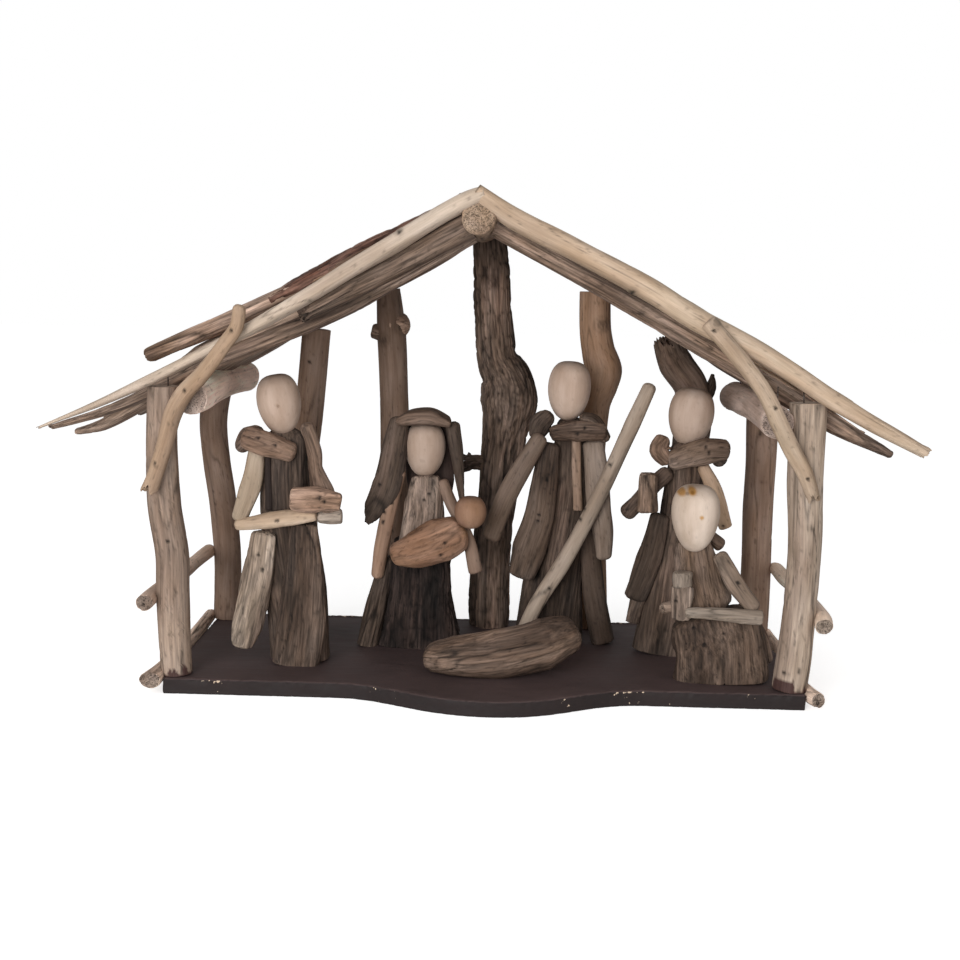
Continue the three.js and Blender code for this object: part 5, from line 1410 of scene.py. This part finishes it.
@dataclass
class Board:
    """The painted board with its swollen front edge. Sizes in mm."""

    length: float = 360
    depth: float = 160
    thickness: float = 9
    bulge: float = 29
    bulge_ends: tuple[float, float, float] = (-84.6, 5.4, 90.0)
    corner: float = 0.9
    pitch: float = 1.2
    burr: float = 2.4
    worn: tuple[tuple[float, float], ...] = (
        (46.0, 9.0), (79.0, 14.0), (-42.0, 12.0), (-60.0, 5.0), (104.0, 8.0), (150.0, 8.0), (-150.0, 9.0),
    )
    paint: BoardPaint = BoardPaint()

    def front_edge(self, x: np.ndarray) -> np.ndarray:
        """Finds where the front edge lies at each place along the board.

        Args:
            x: places along the board.

        Returns:
            Where the edge is, front to back.
        """
        front, peak = -self.depth / 2, -self.depth / 2 - self.bulge
        left, middle, right = self.bulge_ends
        step = np.linspace(0, 1, 60)
        weights = np.stack([(1 - step) ** 3, 3 * step * (1 - step) ** 2, 3 * step**2 * (1 - step), step**3])
        rise = np.array([left, left * 0.6, left * 0.45, middle]) @ weights
        fall = np.array([middle, right * 0.51, right * 0.62, right]) @ weights
        drop = np.array([front, front, peak, peak]) @ weights
        back = np.array([peak, peak, front, front]) @ weights
        return np.interp(x, np.concatenate([rise, fall[1:]]), np.concatenate([drop, back[1:]]))

    def shape(self) -> bmesh.types.BMesh:
        """Cuts the board: a grid drawn to the outline, thickened, with rounded rims.

        Returns:
            The bmesh of the board.
        """
        work = bmesh.new()
        bmesh.ops.create_grid(
            work, x_segments=round(self.length / self.pitch), y_segments=round(self.depth / self.pitch / 2), size=1.0
        )
        for vertex in work.verts:
            x = vertex.co.x * self.length / 2
            front = float(self.front_edge(np.array([x]))[0])
            share = (vertex.co.y + 1) / 2
            vertex.co = Vector((x, front + (self.depth / 2 - front) * share, self.thickness))
        made = bmesh.ops.extrude_face_region(work, geom=work.faces[:], use_keep_orig=True)["geom"]
        under = [item for item in made if isinstance(item, bmesh.types.BMVert)]
        bmesh.ops.translate(work, verts=under, vec=(0, 0, -self.thickness))
        bmesh.ops.recalc_face_normals(work, faces=work.faces[:])
        upright = [edge for edge in work.edges if abs(edge.verts[0].co.z - edge.verts[1].co.z) > 1]
        bmesh.ops.subdivide_edges(work, edges=upright, cuts=5)
        work.normal_update()
        rims = [edge for edge in work.edges if edge.calc_face_angle(0) > 1.0]
        bmesh.ops.bevel(
            work, geom=rims, offset=self.corner, affect="EDGES", segments=3, profile=0.5, material=-1
        )
        return work

    def roughen(self, work: bmesh.types.BMesh) -> np.ndarray:
        """Crumbles the rims of the board a little.

        Args:
            work: the bmesh of the board, changed in place.

        Returns:
            How worn each vertex is, from 0 to 1.
        """
        places = np.array([vertex.co for vertex in work.verts], np.float32)
        edge = self.front_edge(places[:, 0])
        side = np.minimum(self.length / 2 - np.abs(places[:, 0]), places[:, 1] - edge)
        side = np.minimum(side, self.depth / 2 - places[:, 1])
        rim = np.clip(1 - side / 1.6, 0, 1)
        top = np.clip(1 - (self.thickness - places[:, 2]) / 2.5, 0, 1)
        crumbs = NOISE.at(places[:, 0] / 1.7, places[:, 1] / 1.7, places[:, 2] / 1.7)
        slow = NOISE.at(places[:, 0] / 8, places[:, 1] / 8, places[:, 2] / 8 + 5)
        inward = (rim * top * 0.7 + rim * 0.3) * (0.9 * above(crumbs, 0.45, 0.8) + 0.5 * slow)
        for vertex, sink_in in zip(work.verts, inward):
            if sink_in > 0.02:
                vertex.co -= vertex.normal * float(sink_in)
        burr = np.clip(1 - (self.depth / 2 - places[:, 1]) / self.burr, 0, 1) * (places[:, 2] > self.thickness / 2)
        burr *= 0.6 + 0.8 * slow + 0.7 * above(crumbs, 0.4, 0.7)
        for vertex, lift in zip(work.verts, burr):
            vertex.co.z += 1.1 * float(lift)
        patch = np.zeros(len(places))
        for at, reach in self.worn:
            patch = np.maximum(patch, np.clip(1.3 - np.abs(places[:, 0] - at) / reach, 0, 1))
        worn = rim * (places[:, 1] < edge + 3) * np.clip(top + 0.5 * patch, 0, 1) * (0.3 + 0.7 * patch)
        return np.maximum(worn, 1.5 * burr * above(slow, 0.4, 0.6))

    def build(self) -> bpy.types.Object:
        """Makes the board and puts it in place of its plain solid.

        Returns:
            The board.
        """
        work = self.shape()
        wear = self.roughen(work)
        board = new_piece("board_painted", work)
        mesh = board.data
        mesh.transform(Matrix.Scale(MM, 4))
        mesh.attributes.new("wear", "FLOAT", "POINT").data.foreach_set("value", wear.astype(np.float32))
        mesh.materials.append(self.paint.material())
        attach(board, BODY)
        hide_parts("board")
        LOG.info("painted the board: %d faces", len(mesh.polygons))
        return board


@dataclass(frozen=True)
class WireFinish:
    """Dull iron wire, browned by rust."""

    name: str = "iron_wire"
    bright: str = "6d6560"
    rust: str = "3a2c26"

    def material(self) -> bpy.types.Material:
        """Makes the wire's material.

        Returns:
            The material.
        """
        made = bpy.data.materials.new(self.name)
        made.use_nodes = True
        net = NodeNet(made)
        rusty = net.span(net.noise(net.add("ShaderNodeTexCoord").outputs["Object"], 900.0, 3.0), 0.4, 0.6, 0.0, 1.0)
        mix = net.add("ShaderNodeMix", data_type="RGBA")
        net.join(rusty, mix.inputs["Factor"])
        mix.inputs["A"].default_value = (*linear(self.bright), 1)
        mix.inputs["B"].default_value = (*linear(self.rust), 1)
        net.join(mix.outputs["Result"], net.shader.inputs["Base Color"])
        net.join(net.span(rusty, 0.0, 1.0, 0.9, 0.2), net.shader.inputs["Metallic"])
        net.join(net.span(rusty, 0.0, 1.0, 0.38, 0.75), net.shader.inputs["Roughness"])
        return made


@dataclass
class Wires:
    """The wire brads that show between the purlins, the posts and the roof. Sizes in mm above the board's top."""

    radius: float = 0.42
    sides: int = 8
    brads: tuple[tuple[tuple[float, float, float], tuple[float, float, float]], ...] = (
        ((-162.7, 27, 170.6), (-159.3, 27, 169.2)),
        ((-160.6, 27, 168.8), (-157.3, 27, 172.2)),
        ((155.2, 40, 163), (154.4, 40, 168)),
        ((158.6, 40, 163), (159.6, 40, 167.4)),
        ((-177.7, -69, 163), (-177.7, -69, 174)),
        ((159.3, -62, 161.5), (159.3, -62, 169.5)),
        ((172.6, -69, 161), (172.2, -69, 167.5)),
    )
    finish: WireFinish = WireFinish()

    def build(self) -> bpy.types.Object:
        """Draws every brad as a thin rod with a rounded head.

        Returns:
            The brads, as one piece.
        """
        work = bmesh.new()
        for start, stop in self.brads:
            foot, tip = (Vector((x, y, z + BOARD_TOP)) for x, y, z in (start, stop))
            run = tip - foot
            place = Matrix.Translation((foot + tip) / 2) @ run.to_track_quat("Z", "Y").to_matrix().to_4x4()
            bmesh.ops.create_cone(
                work, cap_ends=True, segments=self.sides, radius1=self.radius, radius2=self.radius,
                depth=run.length, matrix=place,
            )
            bmesh.ops.create_icosphere(
                work, subdivisions=2, radius=self.radius * 1.15, matrix=Matrix.Translation(tip)
            )
        wires = new_piece("wire_brads", work)
        wires.data.transform(Matrix.Scale(MM, 4))
        wires.data.materials.append(self.finish.material())
        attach(wires, BODY)
        LOG.info("set %d brads", len(self.brads))
        return wires


@dataclass(frozen=True)
class Lamp:
    """A square soft lamp that looks at the middle of the house. Sizes in metres, power in watts."""

    name: str
    place: tuple[float, float, float]
    side: float
    power: float
    target: tuple[float, float, float] = (0, 0, 0.12)

    def hang(self) -> None:
        """Puts the lamp in its place and turns it to its target."""
        data = bpy.data.lights.new(self.name, "AREA")
        data.size = self.side
        data.energy = self.power
        lamp = bpy.data.objects.new(self.name, data)
        lamp.location = self.place
        aim = Vector(self.target) - Vector(self.place)
        lamp.rotation_euler = aim.to_track_quat("-Z", "Y").to_euler()
        bpy.context.scene.collection.objects.link(lamp)


@dataclass
class Studio:
    """A white photographer's table, three soft lamps and the camera. Sizes in metres."""

    camera_place: tuple[float, float, float] = (0.0126804, -0.8509287, 0.230474)
    yaw: float = 0.0214987
    pitch: float = -0.1354123
    roll: float = -0.0205252
    lens: float = 53.325
    sensor: float = 36.0
    floor_reach: float = 6.0
    floor_colour: float = 0.9
    floor_glow: float = 0.6
    sky: float = 0.47
    lamps: tuple[Lamp, ...] = (
        Lamp("key_lamp", (-0.35, -1.2, 0.9), 0.7, 3.2),
        Lamp("fill_lamp", (0.9, -1.1, 0.35), 0.8, 2.0),
        Lamp("front_lamp", (-0.5, -1.4, 0.24), 0.7, 16.5),
    )

    def build(self) -> None:
        """Sets up the floor, the light and the camera."""
        self.lay_floor()
        self.light()
        self.place_camera()

    def lay_floor(self) -> None:
        """Lays a plain white floor."""
        work = bmesh.new()
        bmesh.ops.create_grid(work, x_segments=1, y_segments=1, size=self.floor_reach)
        floor = new_piece("studio_floor", work)
        made = bpy.data.materials.new("studio_white")
        made.use_nodes = True
        net = NodeNet(made)
        net.shader.inputs["Base Color"].default_value = (self.floor_colour,) * 3 + (1,)
        net.shader.inputs["Roughness"].default_value = 1.0
        net.shader.inputs["Specular IOR Level"].default_value = 0.0
        net.shader.inputs["Emission Color"].default_value = (1, 1, 1, 1)
        seen = net.add("ShaderNodeLightPath").outputs["Is Camera Ray"]
        net.join(net.math("MULTIPLY", seen, self.floor_glow), net.shader.inputs["Emission Strength"])
        floor.data.materials.append(made)

    def light(self) -> None:
        """Lights the table evenly, most from the front and low, so that it reaches the back posts."""
        world = bpy.data.worlds.new("studio_light")
        world.use_nodes = True
        bpy.context.scene.world = world
        tree = world.node_tree
        back = tree.nodes["Background"]
        back.inputs["Color"].default_value = (1, 1, 1, 1)
        path = tree.nodes.new("ShaderNodeLightPath")
        strength = tree.nodes.new("ShaderNodeMapRange")
        strength.inputs["To Min"].default_value = self.sky
        strength.inputs["To Max"].default_value = 1.0
        tree.links.new(path.outputs["Is Camera Ray"], strength.inputs["Value"])
        tree.links.new(strength.outputs["Result"], back.inputs["Strength"])
        for lamp in self.lamps:
            lamp.hang()

    def place_camera(self) -> None:
        """Puts the camera where the photograph was taken from."""
        data = bpy.data.cameras.new("photo_camera")
        data.lens = self.lens
        data.sensor_width = self.sensor
        data.clip_start = 0.01
        camera = bpy.data.objects.new("photo_camera", data)
        turn = (
            Matrix.Rotation(self.yaw, 4, "Z")
            @ Matrix.Rotation(self.pitch, 4, "X")
            @ Matrix.Rotation(self.roll, 4, "Y")
            @ Matrix.Rotation(math.pi / 2, 4, "X")
        )
        camera.matrix_world = Matrix.Translation(self.camera_place) @ turn
        bpy.context.scene.collection.objects.link(camera)
        bpy.context.scene.camera = camera


SUB_ASSEMBLIES = (
    RoofBearers,
    LeftSlope,
    RightSlope,
    CornerPosts,
    BackPosts,
    Braces,
    SideRails,
    LeftKing,
    Mother,
    StaffBearer,
    RearKing,
    KneelingKing,
    LoosePieces,
)


def main() -> None:
    """Builds the house, its figures and the studio."""
    logging.basicConfig(level=logging.INFO, format="%(name)s: %(message)s")
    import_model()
    Studio().build()
    Board().build()
    Wires().build()
    for sub_assembly in SUB_ASSEMBLIES:
        sub_assembly().build()
    bpy.context.scene.view_settings.view_transform = "Standard"


if __name__ == "__main__":
    main()
